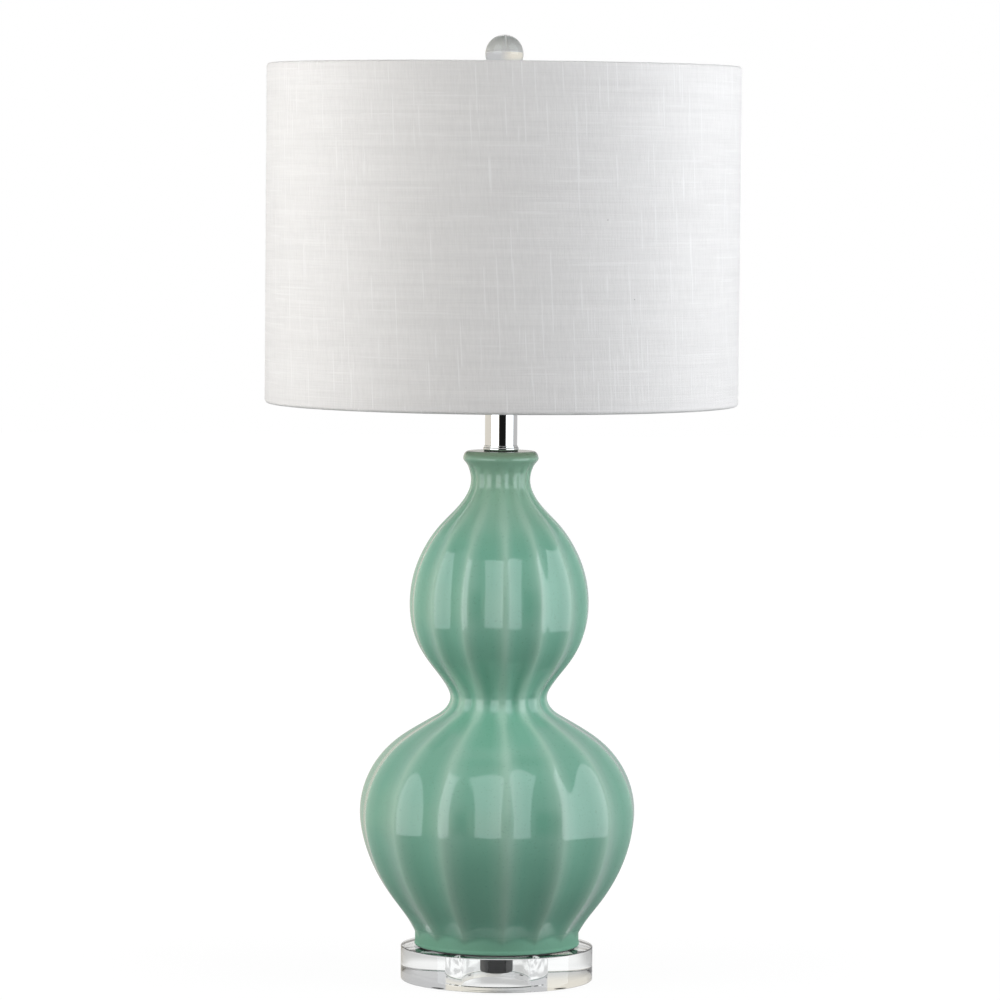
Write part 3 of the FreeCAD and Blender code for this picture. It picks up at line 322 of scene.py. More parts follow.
def celadon_glaze():
    sizes = bpy.context.scene.lamp_ceramic
    made = Finish("celadon_glaze")
    pool = made.node("ShaderNodeAttribute", attribute_name="glaze_pool").outputs["Fac"]
    point = made.object_point()
    drift = made.noise(point, 9.0, 4.0, 0.55)
    uneven = made.math("MULTIPLY_ADD", drift, 0.35, pool)
    thick = made.ramp(uneven, [(0.16, 0.0), (0.50, 0.62), (1.0, 1.0)])
    body = made.mix(thick, tuple(sizes.glaze_thin), tuple(sizes.glaze))
    height = made.node("ShaderNodeSeparateXYZ", point).outputs[2]
    # The neck turns olive and lighter: partly a tint, partly painted light.
    body = made.mix(made.between(height, 0.325, 0.375, 0.0, 0.85), body, tuple(sizes.glaze_neck_painted_light))
    # Painted shade: the crown's top face is darkened.
    body = made.mix(made.between(height, 0.3950, 0.3995), body, tuple(sizes.glaze_crown_painted_shade))
    # The plain band at the foot: its darker colour is painted shade, and it is also rougher, with
    # less gloss and coat.
    foot = made.between(height, 0.032, 0.048, 1.0, 0.0)
    body = made.mix(foot, body, tuple(sizes.glaze_foot_painted_shade))
    cloud = made.ramp(made.noise(point, 24.0, 3.0, 0.6), [(0.3, 0.93), (0.75, 1.0)])
    specks = made.ramp(made.noise(point, 520.0, 2.0, 0.5), [(0.30, 0.90), (0.38, 1.0)])
    made.set(Base_Color=made.dim(body, cloud, specks), IOR=1.52, Coat_Weight=0.35,
             Coat_Roughness=0.03)
    polish = made.ramp(made.noise(point, 60.0, 3.0), [(0.3, 0.05), (0.8, 0.10)])
    made.set(Roughness=made.math("MULTIPLY_ADD", foot, 0.45, polish),
             Specular_IOR_Level=made.math("MULTIPLY_ADD", foot, -0.35, 0.5),
             Coat_Weight=made.math("MULTIPLY_ADD", foot, -0.35, 0.35))
    waves = made.noise(point, 34.0, 2.0, 0.4)
    pits = made.noise(point, 650.0, 2.0, 0.5)
    made.bump(made.math("MULTIPLY_ADD", pits, 0.04, waves), 0.0006, 0.35)
    return made.material


def slubby_linen():
    sizes = bpy.context.scene.lamp_shade
    made = Finish("slubby_linen")
    place_on = made.node("ShaderNodeUVMap", uv_map="cloth").outputs[0]
    parts = made.node("ShaderNodeSeparateXYZ", place_on)
    up = parts.outputs[1]
    across = made.math("MULTIPLY_ADD", up, sizes.lean, parts.outputs[0])

    def threads(over, along, pitch, run, detail=2.0):
        """Noise that differs from thread to thread and drifts along each one."""
        number = made.math("FLOOR", made.math("DIVIDE", over, pitch))
        point = made.node("ShaderNodeCombineXYZ", made.math("MULTIPLY", number, 17.31),
                          made.math("DIVIDE", along, run), 0.5).outputs[0]
        return made.noise(point, 1.0, detail, 0.55)

    warp = threads(across, up, sizes.thread, 0.012)
    weft = threads(up, across, sizes.thread, 0.060)
    warp_slub = threads(across, up, sizes.thread, 0.075, 1.0)
    weft_slub = threads(up, across, sizes.thread * 1.3, 0.080, 1.0)
    weft_band = threads(up, across, sizes.thread * 4.3, 0.130, 2.0)
    tint = made.dim(tuple(sizes.linen), made.ramp(warp, [(0.30, 0.950), (0.66, 1.0)]),
                    made.ramp(weft, [(0.30, 0.962), (0.66, 1.0)]),
                    made.ramp(weft_band, [(0.34, 0.962), (0.66, 1.0)]))
    slub = made.math("MAXIMUM", made.between(warp_slub, 0.655, 0.715, 0.0, 0.60),
                     made.between(weft_slub, 0.655, 0.73, 0.0, 0.30))
    tint = made.mix(slub, tint, tuple(sizes.slub))
    fine = made.node("ShaderNodeMapping", place_on, None, None, (260.0, 330.0, 1)).outputs[0]
    flecks = made.ramp(made.noise(fine, 1.0, 1.0, 0.3), [(0.130, 0.60), (0.160, 1.0)])
    made.set(Base_Color=made.dim(tint, flecks), Roughness=0.92, Specular_IOR_Level=0.2,
             Sheen_Weight=0.12, Sheen_Roughness=0.5)
    count = 2 * math.pi / sizes.thread
    grid = made.math("MULTIPLY", made.math("SINE", made.math("MULTIPLY", across, count)),
                     made.math("SINE", made.math("MULTIPLY", up, count)))
    height = made.math("MULTIPLY_ADD", grid, 0.12, made.math("ADD", warp, weft))
    made.bump(made.math("ADD", height, slub), 0.0004, 0.5)
    return made.material


def smooth_liner():
    made = Finish("smooth_liner")
    point = made.object_point()
    shade = made.ramp(made.noise(point, 14.0, 3.0), [(0.3, 0.97), (0.8, 1.0)])
    made.set(Base_Color=made.dim((0.86, 0.86, 0.84), shade), Roughness=0.42)
    made.bump(made.noise(point, 180.0, 2.0), 0.0002, 0.25)
    return made.material


def clear_acrylic():
    made = Finish("clear_acrylic")
    made.set(Base_Color=(0.985, 0.995, 0.992, 1), IOR=1.49, Transmission_Weight=1.0)
    wipes = made.noise(made.object_point((40.0, 420.0, 420.0)), 1.0, 3.0, 0.7)
    made.set(Roughness=made.ramp(wipes, [(0.55, 0.0), (0.95, 0.03)]))
    made.bump(made.noise(made.object_point(), 22.0, 1.0), 0.0001, 0.1)
    return made.material


def polished_chrome():
    made = Finish("polished_chrome")
    made.set(Base_Color=(0.86, 0.86, 0.86, 1), Metallic=1.0)
    wear = made.noise(made.object_point((500.0, 500.0, 60.0)), 1.0, 3.0, 0.7)
    made.set(Roughness=made.ramp(wear, [(0.35, 0.01), (0.9, 0.06)]))
    made.bump(made.noise(made.object_point(), 90.0, 2.0), 0.00005, 0.15)
    return made.material


def plain_metal(name, tint, low, high):
    """A metal with a little turning grain in its polish."""
    made = Finish(name)
    made.set(Metallic=1.0)
    streak = made.noise(made.object_point((400.0, 400.0, 1200.0)), 1.0, 3.0, 0.6)
    made.set(Roughness=made.ramp(streak, [(0.3, low), (0.8, high)]))
    stain = made.ramp(made.noise(made.object_point(), 70.0, 3.0), [(0.3, 0.8), (0.7, 1.0)])
    made.set(Base_Color=made.dim(tint, stain))
    made.bump(streak, 0.00008, 0.3)
    return made.material


def zinc_steel():
    return plain_metal("zinc_steel", (0.55, 0.55, 0.53), 0.25, 0.42)


def dark_steel():
    return plain_metal("dark_steel", (0.055, 0.055, 0.058), 0.30, 0.50)


def contact_brass():
    return plain_metal("contact_brass", (0.70, 0.48, 0.20), 0.18, 0.34)


def socket_aluminium():
    return plain_metal("socket_aluminium", (0.80, 0.80, 0.80), 0.20, 0.34)


def plain_dull(name, tint, low, high, size, depth):
    """A moulded or painted skin with fine texture."""
    made = Finish(name)
    point = made.object_point()
    skin = made.noise(point, size, 3.0, 0.6)
    cloud = made.ramp(made.noise(point, size / 12, 3.0), [(0.3, 0.85), (0.7, 1.0)])
    made.set(Base_Color=made.dim(tint, cloud), Roughness=made.ramp(skin, [(0.3, low), (0.8, high)]))
    made.bump(skin, depth, 0.4)
    return made.material


def dark_gasket():
    return plain_dull("dark_gasket", (0.045, 0.045, 0.045), 0.6, 0.8, 900.0, 0.0001)


def dark_bush():
    return plain_dull("dark_bush", (0.025, 0.025, 0.025), 0.35, 0.5, 700.0, 0.00006)


def moulded_black():
    return plain_dull("moulded_black", (0.018, 0.018, 0.018), 0.28, 0.42, 600.0, 0.00005)


def insulating_card():
    return plain_dull("insulating_card", (0.42, 0.33, 0.22), 0.7, 0.9, 800.0, 0.0001)


def white_wire():
    return plain_dull("white_wire", (0.80, 0.80, 0.79), 0.3, 0.45, 300.0, 0.00005)


def clear_pad():
    made = Finish("clear_pad")
    made.set(Base_Color=(0.93, 0.95, 0.95, 1), IOR=1.45, Transmission_Weight=0.9)
    skin = made.noise(made.object_point(), 500.0, 2.0)
    made.set(Roughness=made.ramp(skin, [(0.3, 0.15), (0.8, 0.3)]))
    made.bump(skin, 0.00005, 0.3)
    return made.material


def frosted_glass():
    made = Finish("frosted_glass")
    point = made.object_point()
    cloud = made.ramp(made.noise(point, 40.0, 3.0), [(0.3, 0.96), (0.7, 1.0)])
    made.set(Base_Color=made.dim((0.90, 0.90, 0.88), cloud), IOR=1.5, Transmission_Weight=0.35)
    skin = made.noise(point, 700.0, 2.0)
    made.set(Roughness=made.ramp(skin, [(0.3, 0.42), (0.8, 0.55)]))
    made.bump(skin, 0.00004, 0.3)
    return made.material


def dress(piece, maker, body, *nodes, slot=None):
    """Give a finished piece its material and its body, and hide the nodes it stands for. The slot
    is not used.
    """
    piece.data.materials.clear()
    piece.data.materials.append(finish(maker))
    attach(piece, body)
    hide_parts(*nodes)


def keep(maker, *nodes):
    """Give frame nodes that stay a better material."""
    for name in nodes:
        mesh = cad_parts[name].data
        if not mesh.materials:
            mesh.materials.append(None)
        for index in range(len(mesh.materials)):
            mesh.materials[index] = finish(maker)


# ---------- fluted ceramic

class Arithmetic(Wiring):
    """Short words for a geometry node tree, and the names of its inputs."""

    def __init__(self, tree):
        super().__init__(tree)
        self.tree = tree
        self.inputs = {}

    def size(self, name, kind, default=None):
        item = self.tree.interface.new_socket(name=name, in_out="INPUT", socket_type=kind)
        if default is not None:
            item.default_value = default
        self.inputs[name] = item.identifier


def flute_tree():
    """Turns an outline into a ribbed body: its points are rows, and ribs go round."""
    tree = bpy.data.node_groups.new("Fluted body", "GeometryNodeTree")
    sums = Arithmetic(tree)
    do = sums.math
    sums.size("Outline", "NodeSocketGeometry")
    tree.interface.new_socket(name="Body", in_out="OUTPUT", socket_type="NodeSocketGeometry")
    for name, default in (("Ribs", 15), ("Steps per Rib", 20), ("Wide Flute", 0.48),
                          ("Flute Depth", 0.0035), ("Depth Power", 0.85), ("Panel Shape", 1.15),
                          ("Reed Shape", 3.0), ("Waist Radius", 0.0367), ("Reeds End", 0.056),
                          ("Widest Radius", 0.1048), ("Crest Round", 0.11),
                          ("Foot Radius", 0.0618), ("Foot Blend", 0.0005)):
        sums.size(name, "NodeSocketInt" if isinstance(default, int) else "NodeSocketFloat", default)
    sums.size("Glaze", "NodeSocketMaterial")
    (outline, ribs, steps, wide_flute, flute_depth, depth_power, panel_shape, reed_shape,
     waist_radius, reeds_end, widest_radius, crest_round, foot_radius, foot_blend, glaze,
     *_) = sums.node("NodeGroupInput").outputs

    # A flat grid: one row of points for each point of the outline, one column for each step round.
    counted = sums.node("GeometryNodeAttributeDomainSize", outline, component="MESH")
    rows = counted.outputs["Point Count"]
    columns = do("MULTIPLY", ribs, steps)
    grid = sums.node("GeometryNodeMeshGrid",
                     {"Vertices X": do("ADD", columns, 1.0), "Vertices Y": rows})
    index = sums.node("GeometryNodeInputIndex").outputs[0]
    row = do("MODULO", index, rows)
    column = do("FLOOR", do("DIVIDE", do("ADD", index, 0.5), rows))

    def at_row(kind, value):
        """What the outline's point for this row holds."""
        wires = {"Geometry": outline, "Value": value, "Index": row}
        return sums.node("GeometryNodeSampleIndex", wires, data_type=kind).outputs[0]

    position = sums.node("GeometryNodeInputPosition").outputs[0]
    crest, _, height = sums.node("ShaderNodeSeparateXYZ", at_row("FLOAT_VECTOR", position)).outputs
    ribbed, banded = [at_row("FLOAT", sums.node("GeometryNodeInputNamedAttribute", {"Name": name},
                                                data_type="FLOAT").outputs[0])
                      for name in ("ribbed", "banded")]

    # How deep the flute is at this column: narrow crests low down, round reeds at the waist.
    place_round = do("SUBTRACT", do("DIVIDE", column, steps), 0.5)
    last = do("SUBTRACT", ribs, 1.0)
    rib = do("MINIMUM", do("FLOOR", do("ADD", place_round, 0.5)), last)
    off_rib = do("MULTIPLY", do("SUBTRACT", place_round, rib), 2.0)
    crowded = do("MULTIPLY", do("SIGN", off_rib), do("POWER", do("ABSOLUTE", off_rib), 1.5))
    across = do("SINE", do("MULTIPLY", crowded, math.pi / 2))
    panel = sums.between(crest, waist_radius, reeds_end)
    shape = do("ADD", reed_shape, do("MULTIPLY", do("SUBTRACT", panel_shape, reed_shape), panel))
    half = do("MULTIPLY", shape, 0.5)
    soft = do("MULTIPLY", crest_round, crest_round)
    low = do("POWER", soft, half)
    cut = do("SUBTRACT", do("POWER", do("ADD", do("MULTIPLY", across, across), soft), half), low)
    cut = do("DIVIDE", cut, do("SUBTRACT", do("POWER", do("ADD", soft, 1.0), half), low))
    cut = do("MULTIPLY", cut, ribbed)
    depth = do("POWER", do("DIVIDE", crest, widest_radius), depth_power)
    dip = do("MULTIPLY", do("MULTIPLY", flute_depth, depth), cut)

    # Near the foot the panels run out softly into a plain band.
    bare = do("SUBTRACT", crest, dip)
    over = do("SUBTRACT", bare, foot_radius)
    hill = do("SQRT", do("ADD", do("MULTIPLY", over, over), do("MULTIPLY", foot_blend, foot_blend)))
    full = do("MULTIPLY", do("ADD", do("ADD", bare, foot_radius), hill), 0.5)
    radius = do("ADD", bare, do("MULTIPLY", do("SUBTRACT", full, bare), banded))

    # The ribs stand at even steps, apart from one wide flute between the last and the first.
    pitch = do("DIVIDE", do("SUBTRACT", 2 * math.pi, wide_flute), last)
    first_left = do("MULTIPLY", do("LESS_THAN", rib, 0.5), do("LESS_THAN", off_rib, 0.0))
    last_right = do("MULTIPLY", do("GREATER_THAN", rib, do("SUBTRACT", last, 0.5)),
                    do("GREATER_THAN", off_rib, 0.0))
    extra = do("MULTIPLY", do("ADD", first_left, last_right), do("SUBTRACT", wide_flute, pitch))
    from_back = do("MULTIPLY", do("SUBTRACT", rib, do("MULTIPLY", ribs, 0.5)), pitch)
    off = do("MULTIPLY", do("MULTIPLY", crowded, 0.5), do("ADD", pitch, extra))
    turn = do("ADD", do("ADD", from_back, math.pi / 2), off)
    moved = sums.node("ShaderNodeCombineXYZ", do("MULTIPLY", radius, do("COSINE", turn)),
                      do("MULTIPLY", radius, do("SINE", turn)), height).outputs[0]

    pool = do("ADD", cut, do("SUBTRACT", 1.0, do("MINIMUM", ribbed, 1.0)))
    form = sums.node("GeometryNodeStoreNamedAttribute",
                     {"Geometry": grid.outputs["Mesh"], "Name": "glaze_pool", "Value": pool},
                     data_type="FLOAT", domain="POINT").outputs[0]
    for kind, wires in (("GeometryNodeSetPosition", {"Position": moved}),
                        ("GeometryNodeMergeByDistance", {"Distance": 0.00001}),
                        ("GeometryNodeSetShadeSmooth", {}),
                        ("GeometryNodeRealizeInstances", {}),
                        ("GeometryNodeSetMaterial", {"Material": glaze})):
        form = sums.node(kind, {0: form, **wires}).outputs[0]
    sums.node("NodeGroupOutput", form)
    return tree, sums.inputs


def baked(name, base, tree, identifiers, values):
    """Run a node tree on a base object and return the result as a plain piece."""
    run = base.modifiers.new("form", "NODES")
    run.node_group = tree
    for key, value in values.items():
        run[identifiers[key]] = value
    base.update_tag()
    bpy.context.view_layer.update()
    solid = base.evaluated_get(bpy.context.evaluated_depsgraph_get())
    mesh = bpy.data.meshes.new_from_object(solid)
    mesh.name = name
    base.modifiers.remove(run)
    bpy.data.objects.remove(base)
    return place(name, mesh)


# The crests' turning points, (radius, height above the foot) in millimetres, from foot to crown.
FOOT_LEVEL = 27.6
BODY_HEIGHT = 373.4
FOOT_START = (56.5, 0.0)
WIDEST = (104.8, 100.0)
WAIST = (36.7, 186.4)
UPPER = (68.1, 258.2)
NECK = (22.4, 351.0)
LIP = (28.4, 367.6)
CROWN = (24.5, 373.4)
# From one to the next: points between them, as (share of the height, share of the radius).
SPANS = (
    (FOOT_START, WIDEST, ((0.066, 0.09), (0.164, 0.208), (0.343, 0.484), (0.582, 0.785),
                          (0.762, 0.925))),
    (WIDEST, WAIST, ((0.343, 0.107), (0.618, 0.386), (0.759, 0.65), (0.834, 0.815), (0.91, 0.948))),
    (WAIST, UPPER, ((0.148, 0.124), (0.40, 0.567), (0.65, 0.873))),
    (UPPER, NECK, ((0.247, 0.07), (0.442, 0.23), (0.638, 0.503), (0.835, 0.869))),
    (NECK, LIP, ((0.28, 0.07), (0.62, 0.36), (0.82, 0.68))),
    (LIP, CROWN, ((0.31, 0.05), (0.64, 0.23), (0.88, 0.53))),
)
PIPE_BORE = 0.0052      # radius of the hole for the pipe, in metres


def crest_line():
    """Smooth (radius, height) points up the crests, and the stations they pass through."""
    stations = [FOOT_START]
    for (r0, h0), (r1, h1), inner in SPANS:
        stations += [(r0 + (r1 - r0) * wide, h0 + (h1 - h0) * high) for high, wide in inner]
        stations.append((r1, h1))
    return smooth_line(stations, 7), stations


def ceramic_outline():
    """The wall's closed outline, in millimetres: bore, inside, foot, crests, lip and crown.

    Each point is (radius, height, share of the flutes' depth, share of the plain foot band)."""
    line, stations = crest_line()
    wall, bore, rim, opening, skirt, roof, fade = 8.5, PIPE_BORE / MM, 62.2, 51.0, 6.6, 7.0, 7.0
    ceiling = BODY_HEIGHT - roof
    inner = [(opening, skirt)] + [(r - wall, h) for r, h in stations if 2 * skirt < h < NECK[1]]
    inner.append((NECK[0] - wall, NECK[1]))
    inner = smooth_line(inner, 2)[::-1]
    points = [(bore, BODY_HEIGHT, 0, 0), (bore, ceiling, 0, 0), (NECK[0] - wall, ceiling, 0, 0)]
    points += [(r, h, 0, 0) for r, h in inner]
    points += [(opening, 0.5, 0, 0), (opening + 0.5, 0.0, 0, 0)]
    points += [(r, h, 0, 0) for r, h in bow((rim - 0.8, 0.8), 0.8, -90, 0, 5)]
    points += [(rim, 1.9, 0, 0), (rim - 0.12, 2.3, 0, 0)]
    fade_end = LIP[1] - 3.0
    for r, h in line:
        if h <= 2.6:
            continue
        share = min(1.0, max(0.0, (h - fade_end + fade) / fade))
        points.append((r, h, 1 - share * share * (3 - 2 * share), 1 if h < WIDEST[1] else 0))
    points += [(r, BODY_HEIGHT, 0, 0) for r in (20.0, 14.0, 9.0)]
    points.append(points[0])
    return points


class LAMP_OT_ceramic_body(bpy.types.Operator):
    """Make the fluted, glazed body"""
    bl_idname = "gourd_lamp.ceramic_body"
    bl_label = "Ceramic body"

    def execute(self, context):
        sizes = context.scene.lamp_ceramic
        points = ceramic_outline()
        mesh = bpy.data.meshes.new("outline")
        mesh.from_pydata([(r * MM, 0.0, (h + FOOT_LEVEL) * MM) for r, h, _, _ in points],
                         [(i, i + 1) for i in range(len(points) - 1)], [])
        for name, column in (("ribbed", 2), ("banded", 3)):
            values = mesh.attributes.new(name, "FLOAT", "POINT").data
            for item, point in zip(values, points):
                item.value = float(point[column])
        tree, identifiers = flute_tree()
        body = baked("fluted_body", place("outline", mesh), tree, identifiers, {
            "Ribs": sizes.ribs, "Steps per Rib": sizes.steps, "Wide Flute": sizes.wide_flute,
            "Flute Depth": sizes.flute_depth, "Depth Power": sizes.depth_power,
            "Panel Shape": sizes.panel_shape, "Reed Shape": sizes.reed_shape,
            "Waist Radius": WAIST[0] * MM, "Reeds End": sizes.reeds_end,
            "Widest Radius": WIDEST[0] * MM, "Crest Round": sizes.crest_round,
            "Foot Radius": sizes.foot_radius, "Foot Blend": sizes.foot_blend,
            "Glaze": finish(celadon_glaze)})
        form = bmesh.new()
        form.from_mesh(body.data)
        bmesh.ops.remove_doubles(form, verts=form.verts, dist=1e-6)
        bmesh.ops.recalc_face_normals(form, faces=form.faces)
        form.to_mesh(body.data)
        form.free()
        body.data.set_sharp_from_angle(angle=math.radians(50))
        dress(body, celadon_glaze, "lamp", "ceramic_body")
        keep(dark_bush, "cord_grommet")
        return {"FINISHED"}


# ---------- clear disc and base

class LAMP_OT_clear_base(bpy.types.Operator):
    """Make the clear disc with its recess, and finish what lies under and in it"""
    bl_idname = "gourd_lamp.clear_base"
    bl_label = "Clear base"

    def execute(self, context):
        low, high = span("base_disc")
        outer, bottom, top, ceiling = high.x, low.z, high.z, span("base_washer")[1].z
        recess, corner, edge, chamfer = 0.026, 0.0015, 0.0008, 0.0003
        outline = [(PIPE_BORE, ceiling)]
        outline += bow((recess - corner, ceiling - corner), corner, 90, 0, 6)
        outline += [(recess, bottom + chamfer), (recess + chamfer, bottom)]
        outline += bow((outer - edge, bottom + edge), edge, -90, 0, 6)
        outline += bow((outer - edge, top - edge), edge, 0, 90, 6)
        outline += [(PIPE_BORE + chamfer, top), (PIPE_BORE, top - chamfer)]
        disc = turned("clear_disc", outline, 256)
        dress(disc, clear_acrylic, "lamp", "base_disc")
        keep(clear_pad, "bumper_pads")
        keep(dark_gasket, "foot_gasket")
        keep(zinc_steel, "base_washer", "threaded_pipe")
        keep(dark_steel, "base_lock_washer", "base_nut")
        return {"FINISHED"}


# ---------- neck

class LAMP_OT_neck(bpy.types.Operator):
    """Make the polished ring and tube between the body and the shade"""
    bl_idname = "gourd_lamp.neck"
    bl_label = "Neck"

    def execute(self, context):
        low, high = span("neck_ring")
        tube_low, tube_high = span("neck_tube")
        outer, seat = high.x, tube_low.z
        flange, roll, step, edge, wall, play = 0.0024, 0.0009, 0.01275, 0.0004, 0.001, 0.00005
        wide_top = low.z + flange
        ring = [(PIPE_BORE, low.z)]
        ring += bow((outer - roll, low.z + roll), roll, -90, 0, 6)
        ring += bow((outer - roll, wide_top - roll), roll, 0, 90, 6)
        ring += [(step, wide_top)] + bow((step - edge, seat - edge), edge, 0, 90, 5)
        spigot = tube_high.x - wall - play
        ring += [(spigot, seat), (spigot, high.z), (PIPE_BORE, high.z)]
        dress(turned("neck_ring_turned", ring, 160), polished_chrome, "lamp", "neck_ring")
        outer, edge = tube_high.x, 0.0002
        tube = [(outer - wall, seat), (outer - edge, seat), (outer, seat + edge),
                (outer, tube_high.z - edge), (outer - edge, tube_high.z),
                (outer - wall, tube_high.z)]
        dress(turned("neck_tube_turned", tube, 160), polished_chrome, "lamp", "neck_tube")
        keep(dark_gasket, "neck_gasket")
        keep(polished_chrome, "neck_cap")
        return {"FINISHED"}


# ---------- drum shade

class LAMP_OT_shade_cloth(bpy.types.Operator):
    """Make the cloth of the drum shade, rolled over its two ring wires"""
    bl_idname = "gourd_lamp.shade_cloth"
    bl_label = "Shade cloth"

    def execute(self, context):
        sizes = context.scene.lamp_shade
        bottom, top = span("shade_bottom_hem")[0].z, span("shade_top_hem")[1].z
        outer, roll, cloth, flap = sizes.radius, sizes.roll, sizes.cloth, sizes.flap
        middle = outer - roll
        inner = roll - cloth
        face = [(outer, bottom + roll + (top - bottom - 2 * roll) * k / 40) for k in range(41)]
        back = [(outer - cloth, z) for _, z in face[::8]][::-1]
        outline = list(face)
        outline += bow((middle, top - roll), roll, 0, 180, 10)[1:]
        outline += [(middle - roll, top - roll - flap), (middle - inner, top - roll - flap)]
        outline += bow((middle, top - roll), inner, 180, 0, 10)
        outline += back[1:-1]
        outline += bow((middle, bottom + roll), inner, 0, -180, 10)
        outline += [(middle - inner, bottom + roll + flap), (middle - roll, bottom + roll + flap)]
        outline += bow((middle, bottom + roll), roll, -180, 0, 10)[:-1]
        drum = turned("drum_cloth", outline, 360, sharp=40.0, uv=True)
        lap = self.lap(sizes, bottom + roll, top - roll)
        for piece, nodes in ((drum, ("shade_cloth", "shade_top_hem", "shade_bottom_hem")),
                             (lap, ("shade_seam",))):
            dress(piece, slubby_linen, "shade", *nodes, slot="white_linen")
        return {"FINISHED"}

    def lap(self, sizes, low, high):
        """The narrow strip at the back where one end of the cloth covers the other."""
        form = bmesh.new()
        layer = form.loops.layers.uv.new("cloth")
        half = sizes.lap / 2 / sizes.radius
        strips, levels, thick, gap = 12, 30, 0.0005, 0.00002
        columns = []
        for k in range(strips + 1):
            share = k / strips
            turn = math.pi / 2 + half * (2 * share - 1)
            lift = thick * min(1.0, 8 * share + 0.25)
            columns.append([(sizes.radius + lift, turn), (sizes.radius + gap, turn)])
        rows = [low + (high - low) * k / levels for k in range(levels + 1)]
        grid = [[[form.verts.new((r * math.cos(a), r * math.sin(a), z)) for r, a in column]
                 for column in columns] for z in rows]

        def cover(corners):
            """A face over (row, column, side) corners."""
            face = form.faces.new([grid[i][k][side] for i, k, side in corners])
            for loop, (i, k, _) in zip(face.loops, corners):
                loop[layer].uv = (columns[k][0][1] * sizes.radius, rows[i])

        for i in range(levels):
            for k in range(strips):
                for side in (0, 1):
                    cover([(i, k, side), (i, k + 1, side), (i + 1, k + 1, side), (i + 1, k, side)])
            for k in (0, strips):
                cover([(i, k, 0), (i + 1, k, 0), (i + 1, k, 1), (i, k, 1)])
        for i in (0, levels):
            for k in range(strips):
                cover([(i, k, 0), (i, k + 1, 0), (i, k + 1, 1), (i, k, 1)])
        bmesh.ops.recalc_face_normals(form, faces=form.faces)
        mesh = bpy.data.meshes.new("cloth_lap")
        form.to_mesh(mesh)
        form.free()
        return place("cloth_lap", mesh)


class LAMP_OT_shade_frame(bpy.types.Operator):
    """Make the shade's smooth lining, and finish its rings, hub and arms"""
    bl_idname = "gourd_lamp.shade_frame"
    bl_label = "Shade lining and frame"

    def execute(self, context):
        low, high = span("shade_liner")
        sizes = context.scene.lamp_shade
        thick, gap = 0.0005, 0.0001
        outer = sizes.radius - sizes.cloth - gap
        rows = [low.z + (high.z - low.z) * k / 8 for k in range(9)]
        outline = [(outer, z) for z in rows] + [(outer - thick, z) for z in rows[::-1]]
        dress(turned("shade_lining", outline, 256), smooth_liner, "shade", "shade_liner",
              slot="white_liner")
        keep(white_wire, "shade_top_ring", "shade_bottom_ring")
        keep(polished_chrome, "spider_hub", "spider_arms")
        return {"FINISHED"}


# ---------- harp, socket, bulb, finial

class LAMP_OT_harp_and_socket(bpy.types.Operator):
    """Finish the harp, the socket and the switch"""
    bl_idname = "gourd_lamp.harp_and_socket"
    bl_label = "Harp and socket"

    def execute(self, context):
        keep(polished_chrome, "harp_saddle", "saddle_nut", "harp", "harp_ferrule_left",
             "harp_ferrule_right", "harp_stud", "socket_cap", "socket_shell")
        keep(insulating_card, "socket_insulator")
        keep(moulded_black, "switch_body", "switch_knob")
        keep(socket_aluminium, "screw_shell")
        keep(contact_brass, "centre_contact", "terminal_screws")
        keep(dark_steel, "switch_stem")
        return {"FINISHED"}


class LAMP_OT_bulb(bpy.types.Operator):
    """Make the frosted bulb and finish its base"""
    bl_idname = "gourd_lamp.bulb"
    bl_label = "Bulb"

    def execute(self, context):
        low, high = span("bulb_globe")
        ball, neck, wall = high.x, 0.0138, 0.0008
        half = high.z - low.z - ball
        middle = low.z + half

        def side(inset):
            stations = [(neck - inset, low.z), (neck + 0.06 * ball - inset, low.z + 0.2 * half),
                        (0.8 * ball - inset, low.z + 0.58 * half), (ball - inset, middle)]
            return smooth_line(stations, 8) + bow((0.0, middle), ball - inset, 0, 90, 14)[1:]

        outline = side(0.0)
        outline[-1] = (0.0, outline[-1][1])
        inner = side(wall)[::-1]
        inner[0] = (0.0, inner[0][1])
        globe = turned("frosted_globe", outline + inner, 96)
        dress(globe, frosted_glass, "bulb", "bulb_globe")
        keep(contact_brass, "bulb_tip")
        keep(socket_aluminium, "bulb_base")
        return {"FINISHED"}


class LAMP_OT_finial(bpy.types.Operator):
    """Make the clear ball on top and finish the metal under it"""
    bl_idname = "gourd_lamp.finial"
    bl_label = "Finial"

    def execute(self, context):
        low, high = span("finial_ball")
        radius = (high.z - low.z) / 2
        middle = (high.z + low.z) / 2
        outline = bow((0.0, middle), radius, -90, 90, 64)
        outline[0] = (0.0, low.z)
        outline[-1] = (0.0, high.z)
        ball = turned("clear_ball", outline, 128, closed=False)
        dress(ball, clear_acrylic, "finial", "finial_ball")
        keep(polished_chrome, "finial_base")
        return {"FINISHED"}


# ---------- stage

WARM, COOL, PALE = (1.0, 0.985, 0.965), (0.97, 0.98, 1.0), (0.88, 0.95, 1.0)
LAMP_DISTANCE = 1.5
GAP_MIDDLE, GAP_HALF = 0.12, 0.41     # the dark gap in front, in radians round the lamp


def round_the_lamp(azimuth, distance, height):
    """A point round the lamp; azimuth 0 is in front, positive to the right, in degrees."""
    angle = math.radians(azimuth)
    return Vector((distance * math.sin(angle), -distance * math.cos(angle), height))


def group_of(name, members, state):
    """A collection for a lamp's links: only these members, or all but these."""
    group = bpy.data.collections.new(name)
    for member in members:
        group.objects.link(member)
    for entry in group.collection_objects:
        entry.light_linking.link_state = state
    return group


